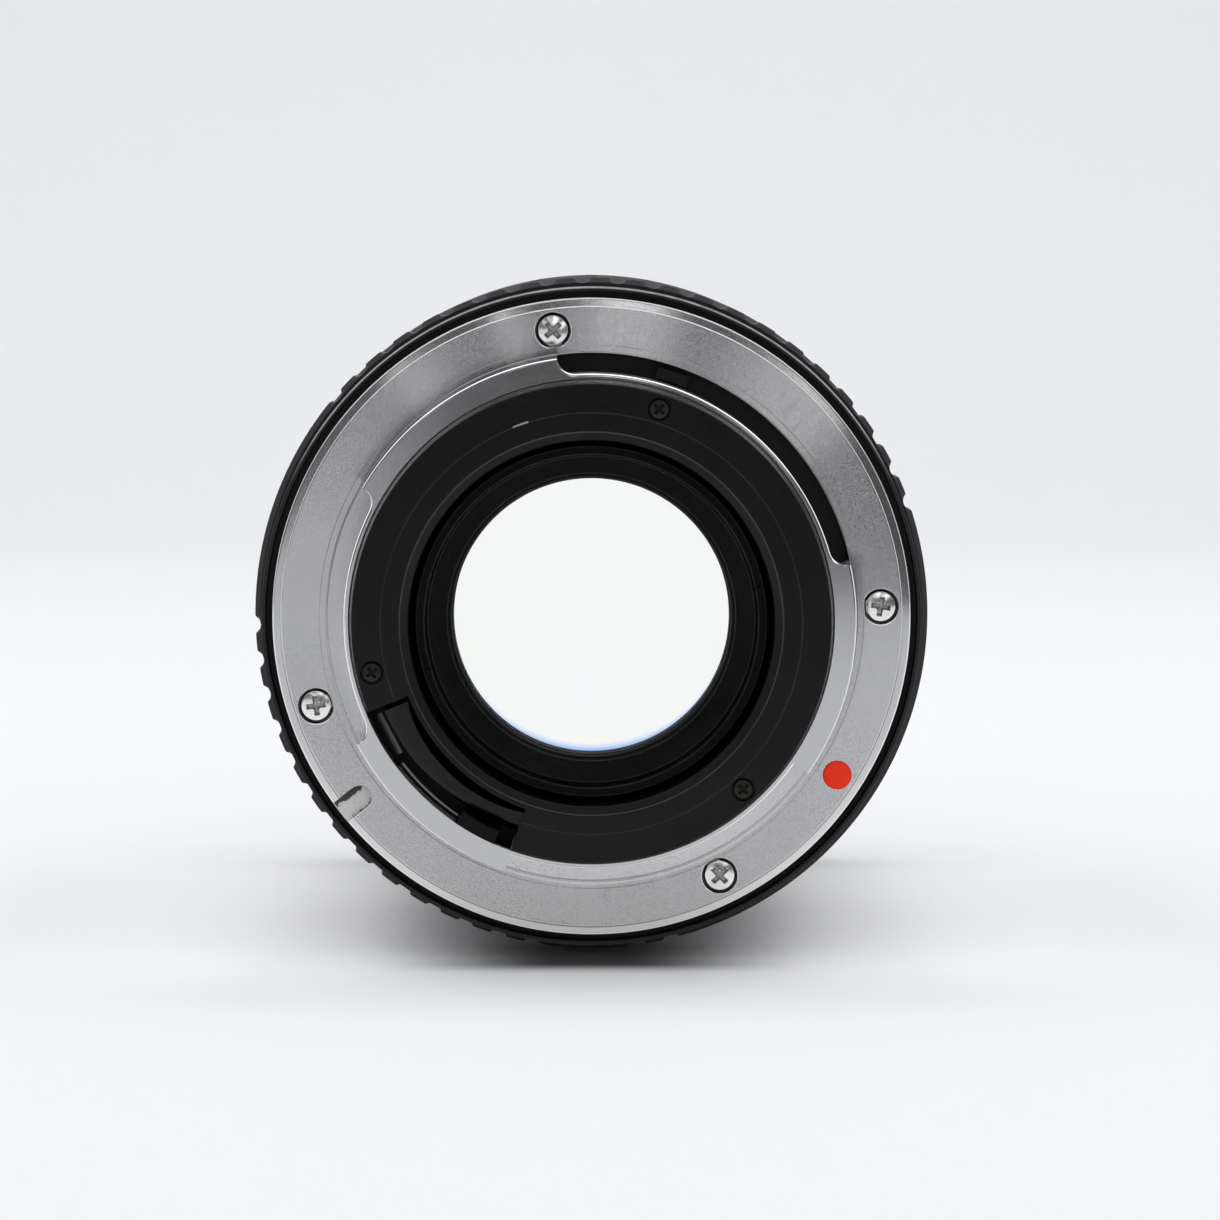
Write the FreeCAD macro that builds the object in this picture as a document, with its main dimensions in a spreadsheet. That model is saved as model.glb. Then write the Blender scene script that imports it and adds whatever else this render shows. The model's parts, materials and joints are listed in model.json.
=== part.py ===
"""Telephoto lens with a three-lug bayonet, an iris and a sliding hood, in millimetres.

The origin is the centre of the flange's seating face. The optical axis is Y: the front of the lens is
towards +Y and the camera side is towards -Y, with +Z up as the lens lies on its side. Angles are
measured round the optical axis from +X towards +Z, as the rear view of the lens shows them.
"""
import FreeCAD, Part
import math
import os
from types import SimpleNamespace

import Sketcher
from FreeCAD import Placement, Rotation, Vector

DIMENSIONS = {
    # bayonet mount
    "flange_width": 7.33,
    "flange_radius": "=tube_radius + flange_width",
    "flange_thickness": 2.4,
    "rim_step_width": 0.9,
    "rim_step_radius": "=flange_radius - rim_step_width",
    "rim_step_depth": 0.4,
    "relief_width": 0.76,
    "relief_radius": "=floor_radius + relief_width",
    "relief_depth": 0.2,
    "floor_width": 1.87,
    "floor_radius": "=tube_radius + floor_width",
    "floor_depth": 0.6,
    "tube_radius": 24.07,
    "tube_wall": 0.57,
    "tube_reach": 6.0,
    "lug_height": 1.65,
    "lug_radius": "=tube_radius + lug_height",
    "lug_thickness": 1.3,
    "shelf_width": 2.9,
    "shelf_radius": "=tube_radius - tube_wall - shelf_width",
    "shelf_depth": 3.0,
    "shelf_thickness": 1.5,
    "slot_start": 12.4,
    "slot_end": 97.5,
    "bolt_edge": 3.0,
    "bolt_circle_radius": "=flange_radius - bolt_edge",
    "mount_head_radius": 1.6,
    "mount_head_height": 1.0,
    "mount_head_gap": 0.15,
    "mount_shank_radius": 0.95,
    "mount_screw_reach": 7.4,
    "dot_edge": 2.7,
    "dot_circle_radius": "=flange_radius - dot_edge",
    "dot_radius": 1.35,
    "dot_depth": 0.3,
    "dot_angle": 327.3,
    "notch_angle": 217.9,
    "notch_width": 2.3,
    "notch_length": 3.7,
    "notch_inner_radius": "=flange_radius - notch_length",
    "notch_depth": 1.2,
    # rear baffle
    "baffle_gap": 0.3,
    "baffle_radius": "=tube_radius - tube_wall - baffle_gap",
    "baffle_reach": 9.0,
    "baffle_edge_width": 0.93,
    "baffle_edge_radius": "=baffle_bore + baffle_edge_width",
    "baffle_width": 5.57,
    "baffle_bore": "=baffle_radius - baffle_width",
    "baffle_bevel": 0.7,
    "baffle_plate": 0.8,
    "baffle_wall": 0.7,
    "baffle_tube_end": 5.0,
    "baffle_ridge_width": 2.77,
    "baffle_ridge_radius": "=baffle_bore + baffle_ridge_width",
    "baffle_ridge_step": 0.08,
    "recess_width": 4.2,
    "recess_radius": "=baffle_radius - recess_width",
    "recess_start": 201.5,
    "recess_end": 250.5,
    "platform_groove": 0.6,
    "platform_gap": 0.2,
    "platform_thickness": 0.8,
    "platform_lap": 2.0,
    "baffle_screw_edge": 1.5,
    "baffle_screw_circle": "=baffle_radius - baffle_screw_edge",
    "baffle_head_radius": 1.0,
    "baffle_head_height": 0.5,
    "baffle_head_gap": 0.13,
    "baffle_shank_radius": 0.6,
    "baffle_post_radius": 1.45,
    # running fits and end gaps
    "running_clearance": 0.1,
    "end_gap": 0.1,
    "joint_gap": 0.3,
    # aperture coupling inside the mount
    "coupling_wall": 1.5,
    "coupling_width": 2.3,
    "tab_step": 0.2,
    "tab_outer_radius": "=tube_radius - tube_wall - running_clearance - tab_step",
    "tab_reach": 10.0,
    "tab_start": 236.0,
    "tab_end": 246.0,
    "bridge_start": 280.0,
    "bridge_end": 288.0,
    "bridge_margin": 1.1,
    "link_radius": 0.8,
    "link_position": 6.5,
    "link_angle": 284.0,
    "link_grip": 1.4,
    "link_tip_radius": "=barrel_radius + link_grip",
    "aperture_travel": 34.0,
    "circlip_width": 0.5,
    "circlip_wall": 1.3,
    "circlip_groove": 0.3,
    # stop-down lever
    "lever_step": 0.37,
    "lever_inner_radius": "=tube_radius - lever_step",
    "lever_thickness": 1.5,
    "lever_tip_inner_gap": 0.23,
    "lever_tip_inner_radius": "=tube_radius + lever_tip_inner_gap",
    "lever_tip_outer_gap": 0.54,
    "lever_tip_outer_radius": "=floor_radius - lever_tip_outer_gap",
    "lever_tip_depth": 0.8,
    "lever_start": 67.8,
    "lever_end": 75.0,
    "lever_travel": 20.0,
    "lever_retainer_width": 0.8,
    "fork_angle": 84.5,
    "fork_half_width": 0.9,
    "fork_inner_radius": "=drive_pin_circle - fork_half_width",
    "fork_outer_radius": "=drive_pin_circle + fork_half_width",
    "fork_half_angle": 7.0,
    "fork_gap_angle": 2.35,
    "fork_reach": 33.6,
    # rear housing and fixed barrel
    "barrel_step": 1.2,
    "barrel_radius": "=flange_radius - barrel_step",
    "housing_step": 2.53,
    "housing_bore": "=tube_radius + housing_step",
    "housing_front": 12.0,
    "window_margin": 0.4,
    "ball_angle": 150.0,
    "ball_position": 8.2,
    "ball_radius": 1.0,
    "ball_rise": 0.25,
    "click_spring_radius": 0.8,
    "ball_hole_depth": 2.9,
    "ball_hole_floor": "=barrel_radius - ball_hole_depth",
    "fixed_flange_height": 5.0,
    "fixed_flange_bore": "=barrel_radius - fixed_flange_height",
    "fixed_flange_width": 1.5,
    "fixed_barrel_wall": 1.1,
    "fixed_barrel_front": 34.0,
    "barrel_screw_inset": 2.0,
    "barrel_screw_circle": "=barrel_radius - barrel_screw_inset",
    "barrel_head_radius": 1.3,
    "barrel_head_height": 0.8,
    "barrel_shank_radius": 0.7,
    "barrel_screw_length": 4.0,
    "key_width": 4.0,
    "key_wall": 1.5,
    "key_front": 31.0,
    "key_screw_inset": 1.0,
    "key_screw_circle": "=carrier_radius - key_screw_inset",
    "key_head_radius": 0.75,
    "key_head_height": 0.6,
    "key_shank_radius": 0.45,
    "key_screw_length": 4.5,
    "stop_angle": 120.0,
    "stop_half_angle": 4.0,
    "stop_free_angle": 1.0,
    "stop_height": 0.7,
    "stop_width": 1.0,
    # aperture ring and index ring
    "skirt_gap": 0.6,
    "ring_skirt_radius": "=flange_radius + skirt_gap + ring_skirt_wall",
    "ring_skirt_wall": 0.4,
    "ring_rear": 0.5,
    "ring_grip_rear": 5.0,
    "ring_grip_rise": 0.9,
    "ring_grip_radius": "=ring_skirt_radius + ring_grip_rise",
    "ring_front": 9.6,
    "valley_depth": 0.55,
    "valley_radius": 0.89,
    "valley_run_out": 0.2,
    "channel_depth": 0.45,
    "channel_half_width": 0.9,
    "index_ring_wall": 2.2,
    "index_ring_radius": "=barrel_radius + index_ring_wall",
    "index_ring_front": 15.0,
    "index_screw_radius": 0.8,
    # focusing ring
    "sleeve_scale_wall": 1.7,
    "sleeve_scale_radius": "=barrel_radius + running_clearance + sleeve_scale_wall",
    "sleeve_wall": 1.2,
    "sleeve_radius": "=barrel_radius + running_clearance + sleeve_wall",
    "sleeve_rim_wall": 2.0,
    "sleeve_rim_radius": "=barrel_radius + running_clearance + sleeve_rim_wall",
    "sleeve_front": 50.0,
    "grip_rear": 20.6,
    "grip_front": 47.4,
    "grip_wall": 1.8,
    "grip_radius": "=sleeve_radius + grip_wall",
    "grip_groove_depth": 0.6,
    "grip_groove_width": 1.1,
    "guide_screw_radius": 0.8,
    "guide_screw_position": 18.0,
    "guide_groove_depth": 0.4,
    "helicoid_wall": 1.9,
    "helicoid_flange_width": 1.4,
    "helicoid_screw_radius": 0.6,
    "focus_turn": 270.0,
    "focus_travel": 13.4,
    # lens carrier
    "carrier_radius": "=barrel_radius - fixed_barrel_wall - 2 * running_clearance - helicoid_wall",
    "carrier_wall": 1.7,
    "carrier_front": 46.0,
    "carrier_ledge": 39.4,
    "carrier_ledge_width": 0.8,
    "carrier_ledge_height": 0.5,
    # iris
    "iris_rear": 34.6,
    "iris_plate": 1.0,
    "iris_opening_gap": 0.8,
    "iris_opening": "=blade_inner_radius + iris_opening_gap",
    "iris_bore_step": 3.2,
    "iris_bore": "=carrier_radius - iris_bore_step",
    "iris_flange_width": 1.2,
    "iris_retainer_width": 0.8,
    "iris_retainer_lap": 0.2,
    "cam_thickness": 0.8,
    "cam_width": 2.8,
    "cam_inner_radius": "=pivot_radius - cam_width",
    "pivot_inset": 1.4,
    "pivot_radius": "=iris_bore - pivot_inset",
    "blade_width": 6.7,
    "blade_inner_radius": "=blade_outer_radius - blade_width",
    "blade_inset": 0.9,
    "blade_outer_radius": "=pivot_radius - blade_inset",
    "blade_head_rise": 0.5,
    "blade_head_radius": "=pivot_radius + blade_head_rise",
    "blade_start": 2.0,
    "blade_end": 105.0,
    "blade_head_end": 11.0,
    "blade_head_lap": 4.7,
    "blade_thickness": 0.12,
    "blade_pitch": 0.2,
    "blade_pin_radius": 0.4,
    "blade_pin_clearance": 0.1,
    "blade_pin_angle": 7.5,
    "blade_swing": 33.0,
    "drive_pin_radius": 0.8,
    "drive_pin_inset": 1.1,
    "drive_pin_circle": "=pivot_radius - drive_pin_inset",
    "drive_pin_rear": 14.0,
    # rear glass group
    "cell_gap": 0.53,
    "rear_cell_radius": "=baffle_bore - cell_gap",
    "rear_ring_width": 0.9,
    "rear_ring_bore": "=rear_cell_radius - rear_ring_width",
    "rear_ring_step": 0.5,
    "rear_ring_taper": 0.2,
    "rear_ring_spigot": "=rear_cell_radius - rear_ring_step",
    "rear_ring_rear": 5.4,
    "rear_cell_rear": 4.2,
    "funnel_rear": 2.4,
    "funnel_step": 2.0,
    "rear_opening_inset": 3.5,
    "rear_opening": "=rear_cell_radius - rear_opening_inset",
    "spanner_width": 1.5,
    "spanner_depth": 0.8,
    "spanner_angle": 14.0,
    "cell_flange_height": 2.7,
    "rear_cell_flange_radius": "=rear_cell_radius + cell_flange_height",
    "rear_cell_flange_width": 1.2,
    "cell_screw_height": 1.5,
    "cell_screw_circle": "=rear_cell_radius + cell_screw_height",
    "cell_head_radius": 0.9,
    "cell_head_height": 0.6,
    "cell_shank_radius": 0.5,
    "rear_cell_wall": 2.6,
    "rear_glass_radius": "=rear_cell_radius - rear_cell_wall",
    "rear_glass_back": 5.3,
    "rear_glass_back_sag": 1.3,
    "rear_glass_front": 10.7,
    "rear_glass_front_sag": 1.7,
    "rear_ledge_height": 0.3,
    "rear_ledge_radius": "=rear_glass_radius - rear_ledge_height",
    "fourth_cell_wall": 1.8,
    "fourth_glass_radius": "=rear_cell_radius - fourth_cell_wall",
    "fourth_glass_clear": "=fourth_glass_radius - seat_band",
    "fourth_glass_back": 21.5,
    "fourth_glass_back_sag": 1.3,
    "fourth_glass_front": 24.8,
    "fourth_glass_front_sag": 2.2,
    "group_ring_width": 2.2,
    # front glass group
    "front_barrel_step": 0.4,
    "front_barrel_radius": "=barrel_radius - front_barrel_step",
    "front_barrel_wall": 2.3,
    "filter_thread_radius": "=front_barrel_radius - front_barrel_wall",
    "filter_thread_step": 0.5,
    "cell_seat_radius": "=filter_thread_radius - filter_thread_step",
    "front_barrel_front": 84.0,
    "front_flange_width": 2.0,
    "front_seat": 58.0,
    "front_seat_width": 1.5,
    "front_seat_height": 1.6,
    "front_seat_radius": "=cell_seat_radius - front_seat_height",
    "carrier_screw_circle": "=carrier_radius - carrier_wall / 2",
    "carrier_head_radius": 0.7,
    "carrier_head_height": 0.8,
    "carrier_shank_radius": 0.4,
    "carrier_screw_length": 4.0,
    "front_cell_rear": 48.6,
    "front_cell_front": 79.0,
    "seat_band": 0.8,
    "third_cell_step": 3.0,
    "third_glass_radius": "=second_glass_radius - third_cell_step",
    "third_glass_back": 49.4,
    "third_glass_back_sag": 6.1,
    "third_glass_front": 55.6,
    "third_glass_front_sag": 1.9,
    "second_cell_step": 2.3,
    "second_glass_radius": "=first_glass_radius - second_cell_step",
    "second_glass_back": 58.8,
    "second_glass_back_sag": 3.2,
    "second_glass_front": 61.5,
    "second_glass_front_sag": 6.0,
    "front_cell_wall": 2.2,
    "first_glass_radius": "=cell_seat_radius - front_cell_wall",
    "first_glass_back": 67.9,
    "first_glass_back_sag": 1.5,
    "first_glass_front": 70.6,
    "first_glass_front_sag": 5.9,
    "cell_web": 0.8,
    "cell_step": 65.0,
    "glass_ring_width": 1.8,
    "bezel_width": 1.2,
    "bezel_bevel": 0.7,
    # sliding hood
    "felt_position": 76.0,
    "felt_width": 4.0,
    "felt_depth": 0.5,
    "felt_rise": 0.05,
    "hood_wall": 1.1,
    "hood_rear": 52.0,
    "hood_front": 86.0,
    "hood_rim_rise": 1.2,
    "hood_rim_radius": "=front_barrel_radius + running_clearance + hood_wall + hood_rim_rise",
    "hood_rim_rear": 80.0,
    "hood_rim_slope": 1.0,
}

LUGS = ((97.5, 149.6), (207.7, 250.8), (325.0, 372.4))
MOUNT_SCREW_ANGLES = (97.6, 2.2, 296.4, 197.8)
BAFFLE_SCREW_ANGLES = (72.5, 192.5, 312.5)
BARREL_SCREW_ANGLES = (0.0, 120.0, 240.0)
KEY_ANGLES = (30.0, 210.0)
INDEX_SCREW_ANGLES = (20.0, 140.0, 260.0)
GUIDE_SCREW_ANGLES = (50.0, 170.0, 290.0)
HELICOID_SCREW_ANGLES = (10.0, 130.0, 250.0)
CARRIER_SCREW_ANGLES = (75.0, 165.0, 300.0)
CELL_SCREW_ANGLES = (30.0, 150.0, 270.0)
VALLEY_PITCH = 6.0
VALLEY_RUNS = ((19.5, 21), (181.8, 18))
GRIP_GROOVES = 36
BLADES = 8
FULL_TURN = 360.0

# How far a cutting tool runs past the face that it opens, and the free angle past a moving piece
OVERRUN = 1.0
FREE_ANGLE = 3.0

# The cross recess of a screw: its arm and half its slot, in head radii, and its depth in head heights
CROSS_ARM = 0.62
CROSS_HALF_SLOT = 0.16
CROSS_DEPTH = 0.6

document = FreeCAD.newDocument("telephoto_lens")
sheet = document.addObject("Spreadsheet::Sheet", "sizes")
sub_parts = []


class Size:
    """A length or an angle: its text is the expression for the sheet, its value the number now."""

    def __init__(self, text, value):
        self.text = text
        self.value = value

    def joined(self, sign, other, value):
        return Size(f"({self.text} {sign} {as_size(other).text})", value)

    def __add__(self, other):
        return self.joined("+", other, self.value + as_size(other).value)

    def __sub__(self, other):
        return self.joined("-", other, self.value - as_size(other).value)

    def __mul__(self, other):
        return self.joined("*", other, self.value * as_size(other).value)

    def __truediv__(self, other):
        return self.joined("/", other, self.value / as_size(other).value)

    def __neg__(self):
        return as_size(0) - self


def as_size(number):
    """Turn a plain number into a Size and leave a Size as it is."""
    if isinstance(number, Size):
        return number
    return Size(f"({number})", float(number))


def fill_sheet():
    """Write each dimension or formula to the sheet and return them all as Sizes by name."""
    for row, alias in enumerate(DIMENSIONS, start=1):
        sheet.set(f"A{row}", alias)
        sheet.setAlias(f"B{row}", alias)
    for row, number in enumerate(DIMENSIONS.values(), start=1):
        sheet.set(f"B{row}", str(number))
    document.recompute()
    return SimpleNamespace(**{name: Size(f"sizes.{name}", float(sheet.get(name))) for name in DIMENSIONS})


dim = fill_sheet()


# Sketches and features

def new_body(label):
    """Start one sub-part as a body with its own label."""
    body = document.addObject("PartDesign::Body", label)
    body.Label = label
    sub_parts.append(body)
    return body


def origin_plane(body, role):
    return next(face for face in body.Origin.OriginFeatures if face.Role == role)


def bind(target, path, number):
    """Tie one property or constraint to the sheet."""
    number = as_size(number)
    target.setExpression(path, number.text)


def place_sketch(body, role, shift, turn_axis, turn):
    """Attach a sketch to an origin plane, shifted along its normal and turned about one axis."""
    sketch = body.newObject("Sketcher::SketchObject", f"{body.Name}_sketch")
    sketch.AttachmentSupport = [(origin_plane(body, role), "")]
    sketch.MapMode = "FlatFace"
    shift = as_size(shift)
    turn = as_size(turn)
    sketch.AttachmentOffset = Placement(Vector(0, 0, shift.value), Rotation(turn_axis, turn.value))
    bind(sketch, "AttachmentOffset.Base.z", shift)
    bind(sketch, "AttachmentOffset.Rotation.Angle", turn)
    return sketch


def section_sketch(body, angle=0.0):
    """A sketch that holds the optical axis: x is the radius at that angle, y is along the axis."""
    return place_sketch(body, "XY_Plane", 0.0, Vector(0, 1, 0), -as_size(angle))


def face_sketch(body, position, angle=0.0):
    """A sketch square to the axis at a position along it, with its x axis at that angle."""
    return place_sketch(body, "XZ_Plane", -as_size(position), Vector(0, 0, 1), angle)


def pin_point(sketch, edge, end, point):
    """Hold one end of an edge at a point that is bound to the sheet."""
    for kind, number in zip(("DistanceX", "DistanceY"), point):
        number = as_size(number)
        row = sketch.addConstraint(Sketcher.Constraint(kind, -1, 1, edge, end, number.value))
        bind(sketch, f"Constraints[{row}]", number)


def draw_outline(sketch, points):
    """Draw a closed outline of straight edges through the points."""
    first = sketch.GeometryCount
    corners = [Vector(as_size(x).value, as_size(y).value, 0) for x, y in points]
    for here, after in zip(corners, corners[1:] + corners[:1]):
        sketch.addGeometry(Part.LineSegment(here, after), False)
    count = len(points)
    for row in range(count):
        after = first + (row + 1) % count
        sketch.addConstraint(Sketcher.Constraint("Coincident", first + row, 2, after, 1))
    for row, point in enumerate(points):
        pin_point(sketch, first + row, 1, point)


def draw_circle(sketch, distance, radius):
    """Draw a circle whose centre is on the sketch's x axis."""
    distance = as_size(distance)
    radius = as_size(radius)
    circle = Part.Circle(Vector(distance.value, 0, 0), Vector(0, 0, 1), radius.value)
    edge = sketch.addGeometry(circle, False)
    pin_point(sketch, edge, 3, (distance, 0))
    row = sketch.addConstraint(Sketcher.Constraint("Radius", edge, radius.value))
    bind(sketch, f"Constraints[{row}]", radius)


def spin(body, sketch, axis, cut, sweep=None):
    """Turn a sketch about an axis, to add a shape or to cut one."""
    kind = "PartDesign::Groove" if cut else "PartDesign::Revolution"
    feature = body.newObject(kind, f"{body.Name}_turn")
    feature.Profile = sketch
    feature.ReferenceAxis = (sketch, [axis])
    feature.Angle = FULL_TURN
    if sweep is not None:
        bind(feature, "Angle", sweep)
    return feature


def turned(body, points, start=None, end=None, cut=False):
    """Turn an outline of (radius, position) points about the optical axis, all round or in part."""
    sketch = section_sketch(body, 0.0 if end is None else end)
    draw_outline(sketch, points)
    sweep = None if end is None else as_size(end) - start
    return spin(body, sketch, "V_Axis", cut, sweep)


def rectangle(inner, outer, rear, front):
    """The four corners of a section from one radius to another and one position to another."""
    return [(inner, rear), (outer, rear), (outer, front), (inner, front)]


def radial(body, angle, position, radius, inner, outer, cut=False):
    """A round pin or hole that points away from the optical axis."""
    sketch = section_sketch(body, angle)
    top = as_size(position) + radius
    start = Vector(as_size(inner).value, as_size(position).value, 0)
    finish = Vector(as_size(outer).value, as_size(position).value, 0)
    axis = sketch.addGeometry(Part.LineSegment(start, finish), True)
    pin_point(sketch, axis, 1, (inner, position))
    pin_point(sketch, axis, 2, (outer, position))
    draw_outline(sketch, rectangle(inner, outer, position, top))
    return spin(body, sketch, "Axis0", cut)


def extrude(body, sketch, depth, cut):
    """Carry a sketch along the axis: a cut runs towards the front and a pad towards the rear."""
    kind = "PartDesign::Pocket" if cut else "PartDesign::Pad"
    feature = body.newObject(kind, f"{body.Name}_run")
    feature.Profile = sketch
    feature.Length = as_size(depth).value
    bind(feature, "Length", depth)
    return feature


def drill(body, distance, angle, radius, rear, front):
    """Cut a round hole along the axis between two positions."""
    sketch = face_sketch(body, rear, angle)
    draw_circle(sketch, distance, radius)
    return extrude(body, sketch, as_size(front) - rear, True)


def rod(body, distance, angle, radius, rear, front):
    """Add a round pin along the axis between two positions."""
    sketch = face_sketch(body, front, angle)
    draw_circle(sketch, distance, radius)
    return extrude(body, sketch, as_size(front) - rear, False)


def block(body, inner, outer, width, angle, rear, front, cut=False):
    """Add or cut a straight-sided block that lies at an angle round the axis."""
    half = as_size(width) / 2
    sketch = face_sketch(body, rear if cut else front, angle)
    draw_outline(sketch, rectangle(inner, outer, -half, half))
    return extrude(body, sketch, as_size(front) - rear, cut)


def repeat(body, feature, count, sweep):
    """Repeat a feature round the optical axis, all round or over part of a turn."""
    pattern = body.newObject("PartDesign::PolarPattern", f"{body.Name}_row")
    pattern.Originals = [feature]
    axis = "N_Axis" if feature.TypeId in ("PartDesign::Pocket", "PartDesign::Pad") else "V_Axis"
    pattern.Axis = (feature.Profile[0], [axis])
    pattern.Angle = sweep
    pattern.Occurrences = int(count)
    body.Tip = pattern
    return pattern


def cross_recess(body, distance, angle, reach, rear, depth):
    """Cut the cross of a screw's drive into its head."""
    arm = as_size(reach) * CROSS_ARM
    web = as_size(reach) * CROSS_HALF_SLOT
    distance = as_size(distance)
    sketch = face_sketch(body, rear, angle)
    near, far = distance - arm, distance + arm
    left, right = distance - web, distance + web
    outline = [(near, -web), (left, -web), (left, -arm), (right, -arm), (right, -web), (far, -web)]
    outline += [(far, web), (right, web), (right, arm), (left, arm), (left, web), (near, web)]
    draw_outline(sketch, outline)
    extrude(body, sketch, depth, True)


def rear_screw(body, distance, angle, head, seat, tip):
    """A screw put in from the rear: head is (radius, height, shank radius)."""
    head_radius, head_height, shank_radius = head
    rod(body, distance, angle, head_radius, as_size(seat) - head_height, seat)
    rod(body, distance, angle, shank_radius, seat, tip)
    cross_recess(body, distance, angle, head_radius, as_size(seat) - head_height, head_height * CROSS_DEPTH)


def front_screw(body, distance, angle, head, seat, tip):
    """A screw put in from the front: head is (radius, height, shank radius)."""
    head_radius, head_height, shank_radius = head
    rod(body, distance, angle, head_radius, seat, as_size(seat) + head_height)
    rod(body, distance, angle, shank_radius, tip, seat)


# Sizes that follow from the driving ones

tube_bore = dim.tube_radius - dim.tube_wall
shelf_rear = -(dim.shelf_depth + dim.shelf_thickness)
shelf_front = -dim.shelf_depth
coupling_outer = tube_bore - dim.running_clearance
coupling_inner = coupling_outer - dim.coupling_wall
coupling_rear = shelf_front + dim.end_gap
coupling_front = coupling_rear + dim.coupling_width
circlip_rear = coupling_front + dim.end_gap
bridge_front = dim.link_position + dim.bridge_margin
lever_outer = dim.housing_bore - dim.running_clearance
lever_rear = dim.flange_thickness + dim.end_gap * 2
lever_front = lever_rear + dim.lever_thickness
retainer_rear = lever_front + dim.end_gap
ring_bore = dim.barrel_radius + dim.running_clearance
ring_web_rear = dim.flange_thickness + dim.end_gap * 2
index_rear = dim.ring_front + dim.joint_gap
fixed_flange_front = dim.housing_front + dim.fixed_flange_width
fixed_barrel_bore = dim.barrel_radius - dim.fixed_barrel_wall
helicoid_bore = dim.carrier_radius + dim.running_clearance
helicoid_outer = fixed_barrel_bore - dim.running_clearance
helicoid_rear = fixed_flange_front + dim.joint_gap
helicoid_flange_rear = dim.fixed_barrel_front + dim.end_gap * 2
helicoid_front = helicoid_flange_rear + dim.helicoid_flange_width
sleeve_bore = ring_bore
sleeve_rear = dim.index_ring_front + dim.joint_gap
carrier_bore = dim.carrier_radius - dim.carrier_wall
carrier_rear = fixed_flange_front + dim.joint_gap
key_inner = carrier_bore + dim.running_clearance
key_outer = key_inner + dim.key_wall
iris_wall_radius = carrier_bore - dim.carrier_ledge_height - dim.end_gap * 2
iris_plate_front = dim.iris_rear + dim.iris_plate
iris_seat = dim.carrier_ledge + dim.carrier_ledge_width
iris_front = iris_seat + dim.iris_flange_width
cam_rear = iris_plate_front + dim.end_gap
cam_front = cam_rear + dim.cam_thickness
cam_outer = dim.iris_bore - dim.running_clearance
blade_first = cam_front + dim.joint_gap
pivot_rear = blade_first + dim.blade_pitch * BLADES + dim.joint_gap
pivot_front = pivot_rear + dim.iris_plate
hood_bore = dim.front_barrel_radius + dim.running_clearance


# Fixed pieces

def bayonet_mount():
    """The flange with its tube, three lugs, inner shelf, lever slot, lock notch and screw holes."""
    body = new_body("bayonet_mount")
    turned(body, [
        (tube_bore, -dim.tube_reach),
        (dim.tube_radius, -dim.tube_reach),
        (dim.tube_radius, dim.floor_depth),
        (dim.floor_radius, dim.floor_depth),
        (dim.floor_radius, dim.relief_depth),
        (dim.relief_radius, dim.relief_depth),
        (dim.relief_radius, 0),
        (dim.rim_step_radius, 0),
        (dim.rim_step_radius, dim.rim_step_depth),
        (dim.flange_radius, dim.rim_step_depth),
        (dim.flange_radius, dim.flange_thickness),
        (tube_bore, dim.flange_thickness),
    ])
    lug_front = dim.lug_thickness - dim.tube_reach
    for start, end in LUGS:
        turned(body, rectangle(tube_bore, dim.lug_radius, -dim.tube_reach, lug_front), start, end)
    shelf = rectangle(dim.shelf_radius, dim.tube_radius, shelf_rear, shelf_front)
    turned(body, shelf, dim.recess_end, dim.recess_start + FULL_TURN)
    circlip_front = circlip_rear + dim.circlip_width
    groove_floor = tube_bore + dim.circlip_groove
    groove = rectangle(tube_bore - OVERRUN, groove_floor, circlip_rear, circlip_front)
    turned(body, groove, cut=True)
    slot = rectangle(dim.tube_radius, dim.floor_radius, 0, dim.flange_thickness + OVERRUN)
    turned(body, slot, dim.slot_start, dim.slot_end, cut=True)
    head_hole = dim.mount_head_radius + dim.mount_head_gap
    head_floor = dim.mount_head_height + dim.end_gap
    for angle in MOUNT_SCREW_ANGLES:
        drill(body, dim.bolt_circle_radius, angle, head_hole, -OVERRUN, head_floor)
        drill(body, dim.bolt_circle_radius, angle, dim.mount_shank_radius, 0, dim.flange_thickness)
    for angle in BAFFLE_SCREW_ANGLES:
        drill(body, dim.baffle_screw_circle, angle, dim.baffle_shank_radius, shelf_rear, shelf_front)
    drill(body, dim.dot_circle_radius, dim.dot_angle, dim.dot_radius, -OVERRUN, dim.dot_depth)
    notch_centre = dim.notch_inner_radius + dim.notch_width / 2
    drill(body, notch_centre, dim.notch_angle, dim.notch_width / 2, 0, dim.notch_depth)
    notch_end = dim.flange_radius + OVERRUN
    notch = (notch_centre, notch_end, dim.notch_width, dim.notch_angle, 0, dim.notch_depth)
    block(body, *notch, cut=True)


def mount_screws():
    """Four pan-head screws that hold the flange to the rear housing."""
    body = new_body("mount_screws")
    head = (dim.mount_head_radius, dim.mount_head_height, dim.mount_shank_radius)
    seat = dim.mount_head_height + dim.end_gap
    for angle in MOUNT_SCREW_ANGLES:
        rear_screw(body, dim.bolt_circle_radius, angle, head, seat, dim.mount_screw_reach)


def index_dot():
    """The enamel dot in the flange that lines up with the camera's mark."""
    body = new_body("index_dot")
    rod(body, dim.dot_circle_radius, dim.dot_angle, dim.dot_radius, 0, dim.dot_depth)


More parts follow.
